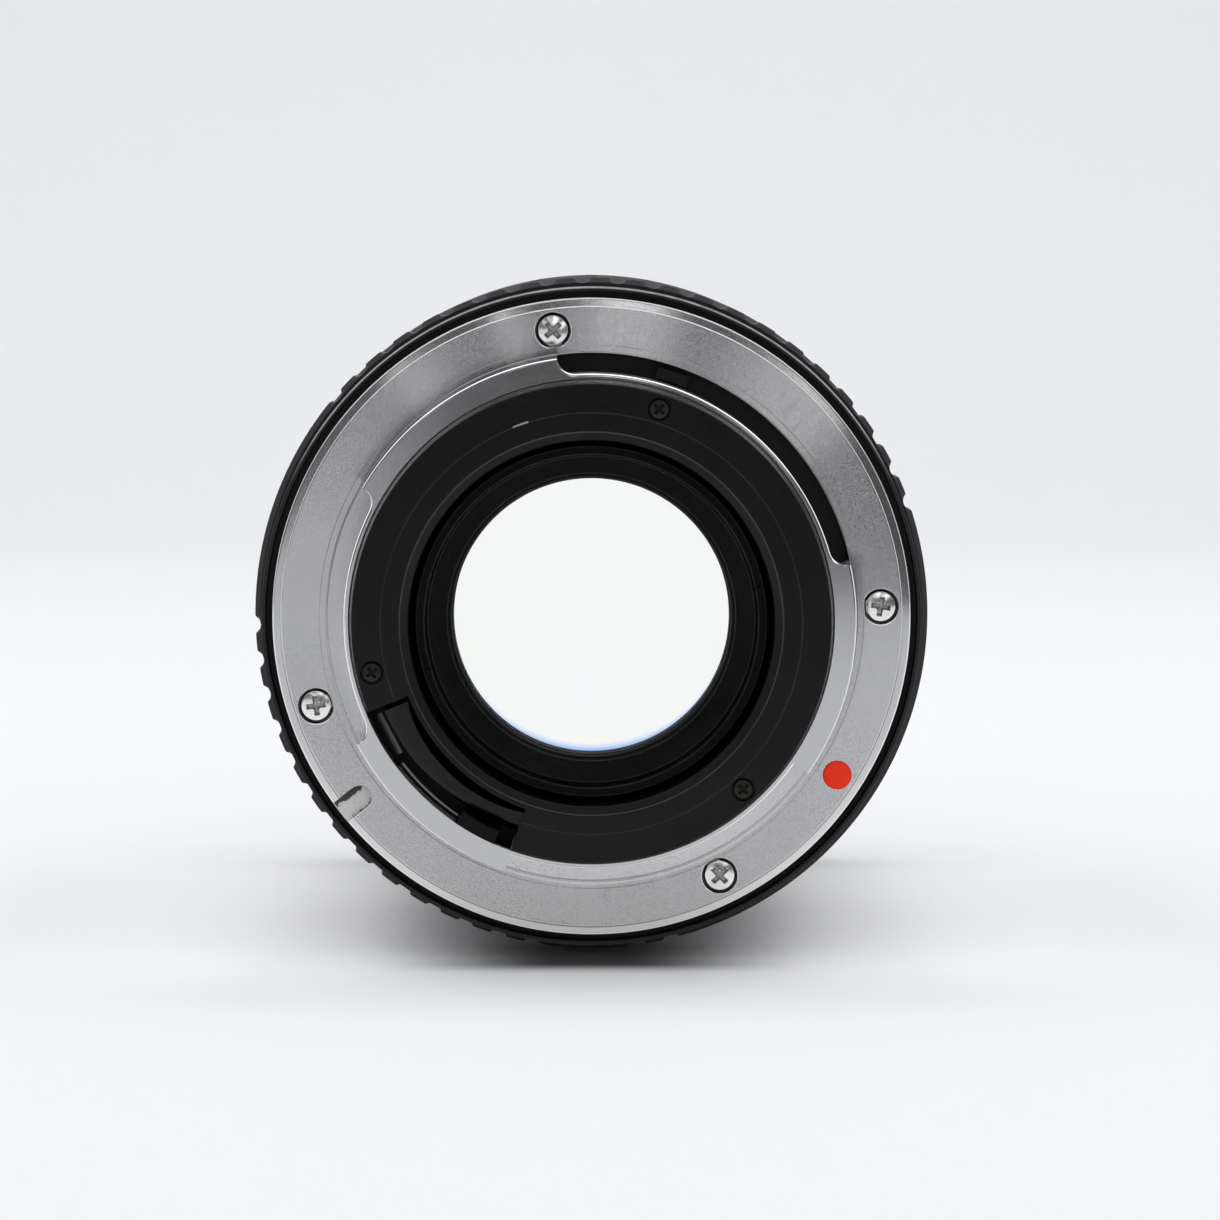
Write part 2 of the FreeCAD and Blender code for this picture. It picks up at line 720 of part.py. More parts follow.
def rear_baffle():
    """The light shield: a shallow cup with screw posts, a recess for the tab and a low platform in it."""
    body = new_body("rear_baffle")
    plate_front = dim.baffle_plate - dim.baffle_reach
    tube_outer = dim.baffle_bore + dim.baffle_wall
    ridge = dim.baffle_ridge_step - dim.baffle_reach
    turned(body, [
        (dim.baffle_edge_radius, -dim.baffle_reach),
        (dim.baffle_ridge_radius, -dim.baffle_reach),
        (dim.baffle_ridge_radius, ridge),
        (dim.baffle_radius, ridge),
        (dim.baffle_radius, shelf_rear),
        (dim.baffle_radius - dim.baffle_wall, shelf_rear),
        (dim.baffle_radius - dim.baffle_wall, plate_front),
        (tube_outer, plate_front),
        (tube_outer, -dim.baffle_tube_end),
        (dim.baffle_bore, -dim.baffle_tube_end),
        (dim.baffle_bore, dim.baffle_bevel - dim.baffle_reach),
    ])
    for angle in BAFFLE_SCREW_ANGLES:
        rod(body, dim.baffle_screw_circle, angle, dim.baffle_post_radius, plate_front, shelf_rear)
    recess_rear = -dim.baffle_reach - OVERRUN
    recess = rectangle(dim.recess_radius, dim.baffle_radius + OVERRUN, recess_rear, shelf_rear + OVERRUN)
    turned(body, recess, dim.recess_start, dim.recess_end, cut=True)
    platform_inner = dim.recess_radius + dim.platform_groove
    platform_outer = coupling_inner - dim.platform_gap
    platform_front = plate_front + dim.platform_thickness
    platform = rectangle(platform_inner, platform_outer, plate_front, platform_front)
    turned(body, platform, dim.recess_start - dim.platform_lap, dim.recess_end + dim.platform_lap)
    seat = ridge + dim.baffle_head_height
    head_hole = dim.baffle_head_radius + dim.baffle_head_gap
    for angle in BAFFLE_SCREW_ANGLES:
        drill(body, dim.baffle_screw_circle, angle, head_hole, recess_rear, seat)
        drill(body, dim.baffle_screw_circle, angle, dim.baffle_shank_radius, seat, shelf_rear)


def baffle_screws():
    """Three screws that hold the baffle to the mount's inner shelf."""
    body = new_body("baffle_screws")
    head = (dim.baffle_head_radius, dim.baffle_head_height, dim.baffle_shank_radius)
    seat = dim.baffle_ridge_step - dim.baffle_reach + dim.baffle_head_height
    for angle in BAFFLE_SCREW_ANGLES:
        rear_screw(body, dim.baffle_screw_circle, angle, head, seat, shelf_front)


def coupling_circlip():
    """The open snap ring that keeps the coupling ring in the mount's bore."""
    body = new_body("coupling_circlip")
    outer = tube_bore + dim.circlip_groove
    section = rectangle(outer - dim.circlip_wall, outer, circlip_rear, circlip_rear + dim.circlip_width)
    opening_start = dim.bridge_start - dim.aperture_travel - FREE_ANGLE
    turned(body, section, dim.bridge_end + FREE_ANGLE, opening_start + FULL_TURN)


def lever_retainer():
    """The threaded ring in the rear housing that keeps the stop-down lever in place."""
    body = new_body("lever_retainer")
    front = retainer_rear + dim.lever_retainer_width
    turned(body, rectangle(dim.lever_inner_radius, dim.housing_bore, retainer_rear, front))


def rear_housing():
    """The casting behind the flange, with a window for the link pin and a hole for the click ball."""
    body = new_body("rear_housing")
    section = rectangle(dim.housing_bore, dim.barrel_radius, dim.flange_thickness, dim.housing_front)
    turned(body, section)
    window_rear = dim.link_position - dim.link_radius - dim.window_margin
    window_front = dim.link_position + dim.link_radius + dim.window_margin
    window = rectangle(dim.housing_bore - OVERRUN, dim.barrel_radius + OVERRUN, window_rear, window_front)
    window_start = dim.link_angle - dim.aperture_travel - FREE_ANGLE
    turned(body, window, window_start, dim.link_angle + FREE_ANGLE, cut=True)
    hole = (dim.ball_angle, dim.ball_position, dim.ball_radius, dim.ball_hole_floor)
    radial(body, *hole, dim.barrel_radius + OVERRUN, cut=True)
    for angle in MOUNT_SCREW_ANGLES:
        shank = (dim.mount_shank_radius, dim.flange_thickness, dim.mount_screw_reach)
        drill(body, dim.bolt_circle_radius, angle, *shank)
    screw_tip = dim.housing_front - dim.barrel_screw_length + dim.fixed_flange_width
    for angle in BARREL_SCREW_ANGLES:
        shank = (dim.barrel_shank_radius, screw_tip, dim.housing_front)
        drill(body, dim.barrel_screw_circle, angle, *shank)


def click_ball():
    """The steel ball that clicks under the aperture ring, with its spring in the same hole."""
    centre = dim.barrel_radius + dim.ball_rise - dim.ball_radius
    angle = math.radians(DIMENSIONS["ball_angle"])
    ball = document.addObject("Part::Sphere", "click_ball")
    ball.Label = "click_ball"
    ball.Placement = Placement(
        Vector(centre.value * math.cos(angle), dim.ball_position.value, centre.value * math.sin(angle)),
        Rotation())
    bind(ball, "Radius", dim.ball_radius)
    turn = f"{dim.ball_angle.text} * 1deg"
    ball.setExpression("Placement.Base.x", f"{centre.text} * cos({turn})")
    ball.setExpression("Placement.Base.y", dim.ball_position.text)
    ball.setExpression("Placement.Base.z", f"{centre.text} * sin({turn})")
    sub_parts.append(ball)
    spring = new_body("click_spring")
    spring_end = centre - dim.ball_radius
    inner = dim.ball_hole_floor
    radial(spring, dim.ball_angle, dim.ball_position, dim.click_spring_radius, inner, spring_end)


def index_ring():
    """The fixed ring with the index mark and the depth scale, and its three set screws."""
    body = new_body("index_ring")
    section = rectangle(dim.barrel_radius, dim.index_ring_radius, index_rear, dim.index_ring_front)
    turned(body, section)
    middle = (index_rear + dim.index_ring_front) / 2
    for angle in INDEX_SCREW_ANGLES:
        hole = (dim.index_screw_radius, dim.barrel_radius - OVERRUN, dim.index_ring_radius + OVERRUN)
        radial(body, angle, middle, *hole, cut=True)
    screws = new_body("index_ring_screws")
    for angle in INDEX_SCREW_ANGLES:
        tip = dim.index_ring_radius - dim.end_gap * 3
        radial(screws, angle, middle, dim.index_screw_radius, dim.barrel_radius, tip)


def fixed_barrel():
    """The inner barrel that the focusing ring turns on, with its three screws into the housing."""
    body = new_body("fixed_barrel")
    turned(body, [
        (dim.fixed_flange_bore, dim.housing_front),
        (dim.barrel_radius, dim.housing_front),
        (dim.barrel_radius, dim.fixed_barrel_front),
        (fixed_barrel_bore, dim.fixed_barrel_front),
        (fixed_barrel_bore, fixed_flange_front),
        (dim.fixed_flange_bore, fixed_flange_front),
    ])
    groove_half = dim.guide_screw_radius + dim.end_gap
    groove_floor = dim.barrel_radius - dim.guide_groove_depth
    groove_rear = dim.guide_screw_position - groove_half
    groove_front = dim.guide_screw_position + groove_half
    groove = rectangle(groove_floor, dim.barrel_radius + OVERRUN, groove_rear, groove_front)
    turned(body, groove, cut=True)
    head_seat = fixed_flange_front - dim.barrel_head_height
    for angle in BARREL_SCREW_ANGLES:
        at = (dim.barrel_screw_circle, angle)
        drill(body, *at, dim.barrel_head_radius, head_seat, fixed_flange_front)
        drill(body, *at, dim.barrel_shank_radius, dim.housing_front, head_seat)
    key_seat = dim.housing_front + dim.key_head_height
    for angle in KEY_ANGLES:
        at = (dim.key_screw_circle, angle)
        drill(body, *at, dim.key_head_radius, dim.housing_front, key_seat)
        drill(body, *at, dim.key_shank_radius, key_seat, fixed_flange_front)
    screws = new_body("barrel_screws")
    head = (dim.barrel_head_radius, dim.barrel_head_height, dim.barrel_shank_radius)
    tip = dim.housing_front - dim.barrel_screw_length + dim.fixed_flange_width
    for angle in BARREL_SCREW_ANGLES:
        front_screw(screws, dim.barrel_screw_circle, angle, head, head_seat, tip)


def guide_keys():
    """Two straight keys that stop the lens carrier from turning, with their screws."""
    body = new_body("guide_keys")
    screw_tip = dim.housing_front + dim.key_screw_length
    for angle in KEY_ANGLES:
        block(body, key_inner, key_outer, dim.key_width, angle, fixed_flange_front, dim.key_front)
    for angle in KEY_ANGLES:
        shank = (dim.key_shank_radius, fixed_flange_front, screw_tip)
        drill(body, dim.key_screw_circle, angle, *shank)
    screws = new_body("key_screws")
    head = (dim.key_head_radius, dim.key_head_height, dim.key_shank_radius)
    for angle in KEY_ANGLES:
        seat = dim.housing_front + dim.key_head_height
        rear_screw(screws, dim.key_screw_circle, angle, head, seat, screw_tip)


def focus_stop():
    """The small block on the fixed barrel that ends the focusing ring's turn."""
    body = new_body("focus_stop")
    rear = sleeve_rear + dim.end_gap
    section = rectangle(dim.barrel_radius, dim.barrel_radius + dim.stop_height, rear, rear + dim.stop_width)
    half = dim.stop_half_angle
    turned(body, section, dim.stop_angle - half, dim.stop_angle + half)


# Aperture ring and what turns with it

def aperture_ring():
    """The ribbed ring that sets the aperture, with a channel for the click ball."""
    body = new_body("aperture_ring")
    turned(body, [
        (ring_bore, ring_web_rear),
        (dim.ring_skirt_radius - dim.ring_skirt_wall, ring_web_rear),
        (dim.ring_skirt_radius - dim.ring_skirt_wall, dim.ring_rear),
        (dim.ring_skirt_radius, dim.ring_rear),
        (dim.ring_skirt_radius, dim.ring_grip_rear),
        (dim.ring_grip_radius, dim.ring_grip_rear),
        (dim.ring_grip_radius, dim.ring_front),
        (ring_bore, dim.ring_front),
    ])
    channel_rear = dim.ball_position - dim.channel_half_width
    channel_front = dim.ball_position + dim.channel_half_width
    channel = rectangle(ring_bore - OVERRUN, ring_bore + dim.channel_depth, channel_rear, channel_front)
    channel_end = dim.ball_angle + dim.aperture_travel + FREE_ANGLE
    turned(body, channel, dim.ball_angle - FREE_ANGLE, channel_end, cut=True)
    hole = (dim.link_radius, ring_bore - OVERRUN, dim.link_tip_radius)
    radial(body, dim.link_angle, dim.link_position, *hole, cut=True)
    valley_centre = dim.ring_grip_radius - dim.valley_depth + dim.valley_radius
    for first_angle, count in VALLEY_RUNS:
        run = (dim.ring_grip_rear - dim.valley_run_out, dim.ring_front + OVERRUN)
        valley = drill(body, valley_centre, first_angle, dim.valley_radius, *run)
        repeat(body, valley, count, VALLEY_PITCH * (count - 1))


def coupling_ring():
    """The ring inside the mount that carries the aperture tab, joined to the aperture ring by a pin."""
    body = new_body("coupling_ring")
    turned(body, rectangle(coupling_inner, coupling_outer, coupling_rear, coupling_front))
    middle = (coupling_rear + coupling_front) / 2
    tab = rectangle(coupling_inner, dim.tab_outer_radius, -dim.tab_reach, middle)
    turned(body, tab, dim.tab_start, dim.tab_end)
    bridge = rectangle(coupling_inner, dim.tab_outer_radius, middle, bridge_front)
    turned(body, bridge, dim.bridge_start, dim.bridge_end)
    hole = (dim.link_radius, coupling_inner - OVERRUN, dim.tab_outer_radius + OVERRUN)
    radial(body, dim.link_angle, dim.link_position, *hole, cut=True)
    pin = new_body("link_pin")
    reach = (dim.link_radius, coupling_inner, dim.link_tip_radius)
    radial(pin, dim.link_angle, dim.link_position, *reach)


# Stop-down lever

def stopdown_lever():
    """The sprung ring with the lever that shows in the slot and the fork that drives the iris."""
    body = new_body("stopdown_lever")
    turned(body, rectangle(dim.lever_inner_radius, lever_outer, lever_rear, lever_front))
    middle = (lever_rear + lever_front) / 2
    tip_section = (dim.lever_tip_inner_radius, dim.lever_tip_outer_radius, dim.lever_tip_depth, middle)
    turned(body, rectangle(*tip_section), dim.lever_start, dim.lever_end)
    foot = rectangle(dim.fork_inner_radius, dim.lever_inner_radius + OVERRUN, lever_rear, lever_front)
    turned(body, foot, dim.fork_angle - dim.fork_half_angle, dim.fork_angle + dim.fork_half_angle)
    prong = rectangle(dim.fork_inner_radius, dim.fork_outer_radius, middle, dim.fork_reach)
    turned(body, prong, dim.fork_angle - dim.fork_half_angle, dim.fork_angle - dim.fork_gap_angle)
    turned(body, prong, dim.fork_angle + dim.fork_gap_angle, dim.fork_angle + dim.fork_half_angle)


# Focusing ring and what turns with it

def focus_ring():
    """The focusing sleeve, its rubber grip, its helicoid and the screws that join them."""
    sleeve = new_body("focus_sleeve")
    turned(sleeve, [
        (sleeve_bore, sleeve_rear),
        (dim.sleeve_scale_radius, sleeve_rear),
        (dim.sleeve_scale_radius, dim.grip_rear),
        (dim.sleeve_radius, dim.grip_rear),
        (dim.sleeve_radius, dim.grip_front),
        (dim.sleeve_rim_radius, dim.grip_front),
        (dim.sleeve_rim_radius, dim.sleeve_front),
        (sleeve_bore, dim.sleeve_front),
    ])
    channel_top = dim.barrel_radius + dim.stop_height + dim.end_gap * 2
    channel_front = sleeve_rear + dim.stop_width + dim.end_gap * 3
    channel = rectangle(sleeve_bore - OVERRUN, channel_top, sleeve_rear - OVERRUN, channel_front)
    channel_start = dim.stop_angle - dim.stop_half_angle - dim.stop_free_angle
    channel_end = dim.stop_angle + dim.focus_turn + dim.stop_half_angle + dim.stop_free_angle
    turned(sleeve, channel, channel_start, channel_end, cut=True)
    guide_tip = dim.barrel_radius - dim.guide_groove_depth + dim.end_gap
    for angle in GUIDE_SCREW_ANGLES:
        hole = (dim.guide_screw_radius, sleeve_bore - OVERRUN, dim.sleeve_scale_radius + OVERRUN)
        radial(sleeve, angle, dim.guide_screw_position, *hole, cut=True)
    helicoid_screw = (helicoid_flange_rear + helicoid_front) / 2
    screw_floor = helicoid_outer - dim.helicoid_wall / 2
    for angle in HELICOID_SCREW_ANGLES:
        hole = (dim.helicoid_screw_radius, sleeve_bore - OVERRUN, dim.sleeve_radius + OVERRUN)
        radial(sleeve, angle, helicoid_screw, *hole, cut=True)

    guides = new_body("sleeve_guide_screws")
    for angle in GUIDE_SCREW_ANGLES:
        reach = (dim.guide_screw_radius, guide_tip, dim.sleeve_scale_radius - dim.end_gap)
        radial(guides, angle, dim.guide_screw_position, *reach)

    grip = new_body("focus_grip")
    turned(grip, rectangle(dim.sleeve_radius, dim.grip_radius, dim.grip_rear, dim.grip_front))
    groove_floor = dim.grip_radius - dim.grip_groove_depth
    groove_end = dim.grip_front - dim.grip_groove_width
    groove_run = (dim.grip_rear + dim.grip_groove_width, groove_end)
    groove_section = (groove_floor, dim.grip_radius + OVERRUN, dim.grip_groove_width)
    groove = block(grip, *groove_section, 0, *groove_run, cut=True)
    repeat(grip, groove, GRIP_GROOVES, FULL_TURN)

    helicoid = new_body("helicoid_ring")
    turned(helicoid, [
        (helicoid_bore, helicoid_rear),
        (helicoid_outer, helicoid_rear),
        (helicoid_outer, helicoid_flange_rear),
        (sleeve_bore, helicoid_flange_rear),
        (sleeve_bore, helicoid_front),
        (helicoid_bore, helicoid_front),
    ])
    for angle in HELICOID_SCREW_ANGLES:
        hole = (dim.helicoid_screw_radius, screw_floor, sleeve_bore + OVERRUN)
        radial(helicoid, angle, helicoid_screw, *hole, cut=True)
    screws = new_body("helicoid_screws")
    for angle in HELICOID_SCREW_ANGLES:
        reach = (dim.helicoid_screw_radius, screw_floor, dim.sleeve_radius - dim.end_gap)
        radial(screws, angle, helicoid_screw, *reach)


# Lens carrier, iris housing and glass

def axis_cylinder(name, radius, rear, front):
    """A plain cylinder round the optical axis between two positions."""
    rear = as_size(rear)
    cylinder = document.addObject("Part::Cylinder", name)
    cylinder.Placement = Placement(Vector(0, rear.value, 0), Rotation(Vector(1, 0, 0), -90))
    bind(cylinder, "Radius", radius)
    bind(cylinder, "Height", as_size(front) - rear)
    bind(cylinder, "Placement.Base.y", rear)
    return cylinder


def joined(kind, name, base, tool):
    """A boolean of two shapes."""
    result = document.addObject(kind, name)
    result.Base = base
    result.Tool = tool
    return result


def glass_cap(name, clear, rim, bulge, outward):
    """The cap of a sphere between its rim and its middle, which lies forward or to the rear."""
    ball_radius = (clear * clear + bulge * bulge) / (bulge * 2)
    forward = outward > 0
    middle = rim + bulge if forward else rim - bulge
    centre = middle - ball_radius if forward else middle + ball_radius
    ball = document.addObject("Part::Sphere", f"{name}_ball")
    ball.Placement = Placement(Vector(0, centre.value, 0), Rotation(Vector(1, 0, 0), -90))
    bind(ball, "Radius", ball_radius)
    bind(ball, "Placement.Base.y", centre)
    rear, front = (rim, middle) if forward else (middle, rim)
    slab = axis_cylinder(f"{name}_slab", clear, rear, front)
    return joined("Part::Common", name, slab, ball)


def glass(label, radius, clear, back, back_sag, front, front_sag, back_way=1):
    """A glass element: a flat seat band at each rim and a curved surface inside it.

    A sag is how far the surface's middle lies from its rim. The front surface always bulges
    forward, and the back surface bulges forward too, or to the rear where back_way is -1.
    """
    band = axis_cylinder(f"{label}_band", radius, back, front)
    front_cap = glass_cap(f"{label}_front", clear, front, front_sag, 1)
    domed = joined("Part::Fuse", f"{label}_domed", band, front_cap)
    back_cap = glass_cap(f"{label}_back", clear, back, back_sag, back_way)
    element = joined("Part::Cut" if back_way > 0 else "Part::Fuse", label, domed, back_cap)
    element.Label = label
    sub_parts.append(element)


def carrier_tube():
    """The tube that slides in the helicoid and carries the iris and both glass groups."""
    body = new_body("carrier_tube")
    ledge_bore = carrier_bore - dim.carrier_ledge_height
    turned(body, [
        (carrier_bore, carrier_rear),
        (dim.carrier_radius, carrier_rear),
        (dim.carrier_radius, dim.carrier_front),
        (carrier_bore, dim.carrier_front),
        (carrier_bore, iris_seat),
        (ledge_bore, iris_seat),
        (ledge_bore, dim.carrier_ledge),
        (carrier_bore, dim.carrier_ledge),
    ])
    slot_width = dim.key_width + dim.running_clearance * 2
    slot_front = dim.key_front + dim.joint_gap * 2
    for angle in KEY_ANGLES:
        slot = (slot_width, angle, carrier_rear - OVERRUN, slot_front)
        block(body, carrier_bore - OVERRUN, dim.carrier_radius + OVERRUN, *slot, cut=True)
    tip = dim.carrier_front - dim.carrier_screw_length
    for angle in CARRIER_SCREW_ANGLES:
        shank = (dim.carrier_shank_radius, tip, dim.carrier_front)
        drill(body, dim.carrier_screw_circle, angle, *shank)


def iris_housing():
    """The cup that holds the iris, with an arc slot for its drive pin and the front pivot plate."""
    body = new_body("iris_housing")
    turned(body, [
        (dim.iris_opening, dim.iris_rear),
        (iris_wall_radius, dim.iris_rear),
        (iris_wall_radius, iris_seat),
        (carrier_bore, iris_seat),
        (carrier_bore, iris_front),
        (dim.iris_bore, iris_front),
        (dim.iris_bore, iris_plate_front),
        (dim.iris_opening, iris_plate_front),
    ])
    slot_half = dim.drive_pin_radius + dim.joint_gap / 2
    inner = dim.drive_pin_circle - slot_half
    outer = dim.drive_pin_circle + slot_half
    slot = rectangle(inner, outer, dim.iris_rear - OVERRUN, iris_plate_front + OVERRUN)
    slot_start = dim.fork_angle - dim.lever_travel - FREE_ANGLE
    turned(body, slot, slot_start, dim.fork_angle + FREE_ANGLE, cut=True)
    screw_tip = iris_plate_front - dim.end_gap
    for angle in CELL_SCREW_ANGLES:
        shank = (dim.cell_shank_radius, dim.iris_rear, screw_tip)
        drill(body, dim.cell_screw_circle, angle, *shank)

    plate = new_body("pivot_plate")
    turned(plate, rectangle(dim.iris_opening, dim.iris_bore, pivot_rear, pivot_front))
    hole_radius = dim.blade_pin_radius + dim.blade_pin_clearance / 2
    hole = drill(plate, dim.pivot_radius, 0, hole_radius, pivot_rear, pivot_front)
    repeat(plate, hole, BLADES, FULL_TURN)

    retainer = new_body("iris_retainer")
    retainer_front = pivot_front + dim.iris_retainer_width
    section = rectangle(dim.pivot_radius - dim.iris_retainer_lap, dim.iris_bore, pivot_front, retainer_front)
    turned(retainer, section)


def pin_spot(swing, pivot_radius, pin_angle):
    """Where a blade's drive pin is, in the view from the rear, once the blade has swung in."""
    pivot = Vector(pivot_radius, 0, 0)
    rest = Vector(pivot_radius * math.cos(pin_angle), pivot_radius * math.sin(pin_angle), 0)
    return pivot + Rotation(Vector(0, 0, 1), swing).multVec(rest - pivot)


def cam_ring():
    """The ring that drives the blades: each cam slot follows its blade's pin as both turn."""
    ring = document.addObject("Part::Feature", "cam_ring")
    ring.Label = "cam_ring"
    pin_angle = math.radians(sheet.blade_pin_angle)
    slot_half = sheet.blade_pin_radius + sheet.blade_pin_clearance
    thickness = sheet.cam_thickness
    disc = Part.makeCylinder(cam_outer.value, thickness)
    disc = disc.cut(Part.makeCylinder(sheet.cam_inner_radius, thickness))
    spots = []
    for share in (0.0, 0.5, 1.0):
        spot = pin_spot(sheet.blade_swing * share, sheet.pivot_radius, pin_angle)
        spots.append(Rotation(Vector(0, 0, 1), sheet.lever_travel * share).multVec(spot))
    path = Part.Arc(*spots).toShape().Curve
    centre = path.Center
    cutter = None
    for spot in (spots[0], spots[2]):
        cap = Part.makeCylinder(slot_half, thickness, spot)
        cutter = cap if cutter is None else cutter.fuse(cap)
    edges = []
    for offset in (-slot_half, slot_half):
        bent = [centre + (spot - centre).normalize() * (path.Radius + offset) for spot in spots]
        edges.append(Part.Arc(*bent).toShape())
    ends = []
    for row in (0, 1):
        ends.append(Part.LineSegment(edges[0].Vertexes[row].Point, edges[1].Vertexes[row].Point).toShape())
    outline = Part.Wire(Part.__sortEdges__(edges + ends))
    cutter = cutter.fuse(Part.Face(outline).extrude(Vector(0, 0, thickness)))
    for blade in range(BLADES):
        turned_cutter = cutter.copy()
        turned_cutter.rotate(Vector(0, 0, 0), Vector(0, 0, 1), blade * FULL_TURN / BLADES)
        disc = disc.cut(turned_cutter)
    pin_hole = Vector(sheet.drive_pin_circle, 0, 0)
    hole = Part.makeCylinder(sheet.drive_pin_radius, thickness, pin_hole)
    hole.rotate(Vector(0, 0, 0), Vector(0, 0, 1), sheet.fork_angle)
    ring.Shape = disc.cut(hole)
    # The disc is drawn as the rear view shows it, then turned to face the rear at its place.
    ring.Placement = Placement(Vector(0, cam_front.value, 0), Rotation(Vector(1, 0, 0), 90))
    sub_parts.append(ring)

    pin = new_body("iris_drive_pin")
    at = (dim.drive_pin_circle, dim.fork_angle)
    rod(pin, *at, dim.drive_pin_radius, dim.drive_pin_rear, cam_front)


def iris_blade(number):
    """One thin curved blade with its pivot pin towards the front and its drive pin to the rear."""
    body = new_body(f"iris_blade_{number + 1}")
    turn = number * FULL_TURN / BLADES
    rear = blade_first + dim.blade_pitch * number
    front = rear + dim.blade_thickness
    crescent = rectangle(dim.blade_inner_radius, dim.blade_outer_radius, rear, front)
    turned(body, crescent, -dim.blade_start + turn, dim.blade_end + turn)
    head = rectangle(dim.blade_outer_radius - dim.blade_head_lap, dim.blade_head_radius, rear, front)
    turned(body, head, -dim.blade_start + turn, dim.blade_head_end + turn)
    middle = rear + dim.blade_thickness / 2
    pin_front = pivot_front - dim.end_gap
    rod(body, dim.pivot_radius, turn, dim.blade_pin_radius, middle, pin_front)
    pin_rear = cam_rear + dim.end_gap
    rod(body, dim.pivot_radius, dim.blade_pin_angle + turn, dim.blade_pin_radius, pin_rear, middle)


def rear_group():
    """The rear cell with its two elements, its rings, the light funnel and its screws."""
    cell = new_body("rear_cell")
    flange_rear = dim.iris_rear - dim.rear_cell_flange_width
    turned(cell, [
        (dim.rear_ring_spigot, -dim.rear_cell_rear),
        (dim.rear_cell_radius, -dim.rear_cell_rear),
        (dim.rear_cell_radius, flange_rear),
        (dim.rear_cell_flange_radius, flange_rear),
        (dim.rear_cell_flange_radius, dim.iris_rear),
        (dim.fourth_glass_radius, dim.iris_rear),
        (dim.fourth_glass_radius, dim.fourth_glass_back),
        (dim.rear_ledge_radius, dim.fourth_glass_back),
        (dim.rear_ledge_radius, dim.rear_glass_front),
        (dim.rear_glass_radius, dim.rear_glass_front),
        (dim.rear_glass_radius, dim.funnel_step),
        (dim.rear_ring_bore, dim.funnel_step),
        (dim.rear_ring_bore, -dim.funnel_rear),
        (dim.rear_ring_spigot, -dim.funnel_rear),
    ])
    head_seat = flange_rear + dim.cell_head_height
    for angle in CELL_SCREW_ANGLES:
        at = (dim.cell_screw_circle, angle)
        drill(cell, *at, dim.cell_head_radius, flange_rear, head_seat)
        drill(cell, *at, dim.cell_shank_radius, head_seat, dim.iris_rear)
    screws = new_body("rear_cell_screws")
    head = (dim.cell_head_radius, dim.cell_head_height, dim.cell_shank_radius)
    for angle in CELL_SCREW_ANGLES:
        tip = iris_plate_front - dim.end_gap
        rear_screw(screws, dim.cell_screw_circle, angle, head, head_seat, tip)

    ring = new_body("rear_spanner_ring")
    spigot_bore = dim.rear_ring_bore - dim.rear_ring_taper
    turned(ring, [
        (dim.rear_ring_bore, -dim.rear_ring_rear),
        (dim.rear_cell_radius, -dim.rear_ring_rear),
        (dim.rear_cell_radius, -dim.rear_cell_rear),
        (dim.rear_ring_spigot, -dim.rear_cell_rear),
        (dim.rear_ring_spigot, -dim.funnel_rear),
        (spigot_bore, -dim.funnel_rear),
    ])
    notch_inner = dim.rear_ring_bore - OVERRUN
    notch_outer = dim.rear_cell_radius + OVERRUN
    notch_front = dim.spanner_depth - dim.rear_ring_rear
    for angle in (dim.spanner_angle, dim.spanner_angle + FULL_TURN / 2):
        notch = (dim.spanner_width, angle, -dim.rear_ring_rear - OVERRUN, notch_front)
        block(ring, notch_inner, notch_outer, *notch, cut=True)

    funnel = new_body("light_funnel")
    turned(funnel, [
        (spigot_bore - dim.running_clearance, -dim.funnel_rear),
        (dim.rear_ring_bore, -dim.funnel_rear),
        (dim.rear_ring_bore, dim.funnel_step),
        (dim.rear_glass_radius, dim.funnel_step),
        (dim.rear_glass_radius, dim.rear_glass_back),
        (dim.rear_opening, dim.rear_glass_back),
        (dim.rear_opening, dim.funnel_step),
    ])

    glass("rear_element", dim.rear_glass_radius, dim.rear_opening, dim.rear_glass_back,
          dim.rear_glass_back_sag, dim.rear_glass_front, dim.rear_glass_front_sag, back_way=-1)
    glass("fourth_element", dim.fourth_glass_radius, dim.fourth_glass_clear, dim.fourth_glass_back,
          dim.fourth_glass_back_sag, dim.fourth_glass_front, dim.fourth_glass_front_sag)
    group_ring = new_body("rear_group_ring")
    ring_end = dim.fourth_glass_front + dim.group_ring_width
    section = (dim.fourth_glass_clear, dim.fourth_glass_radius, dim.fourth_glass_front, ring_end)
    turned(group_ring, rectangle(*section))


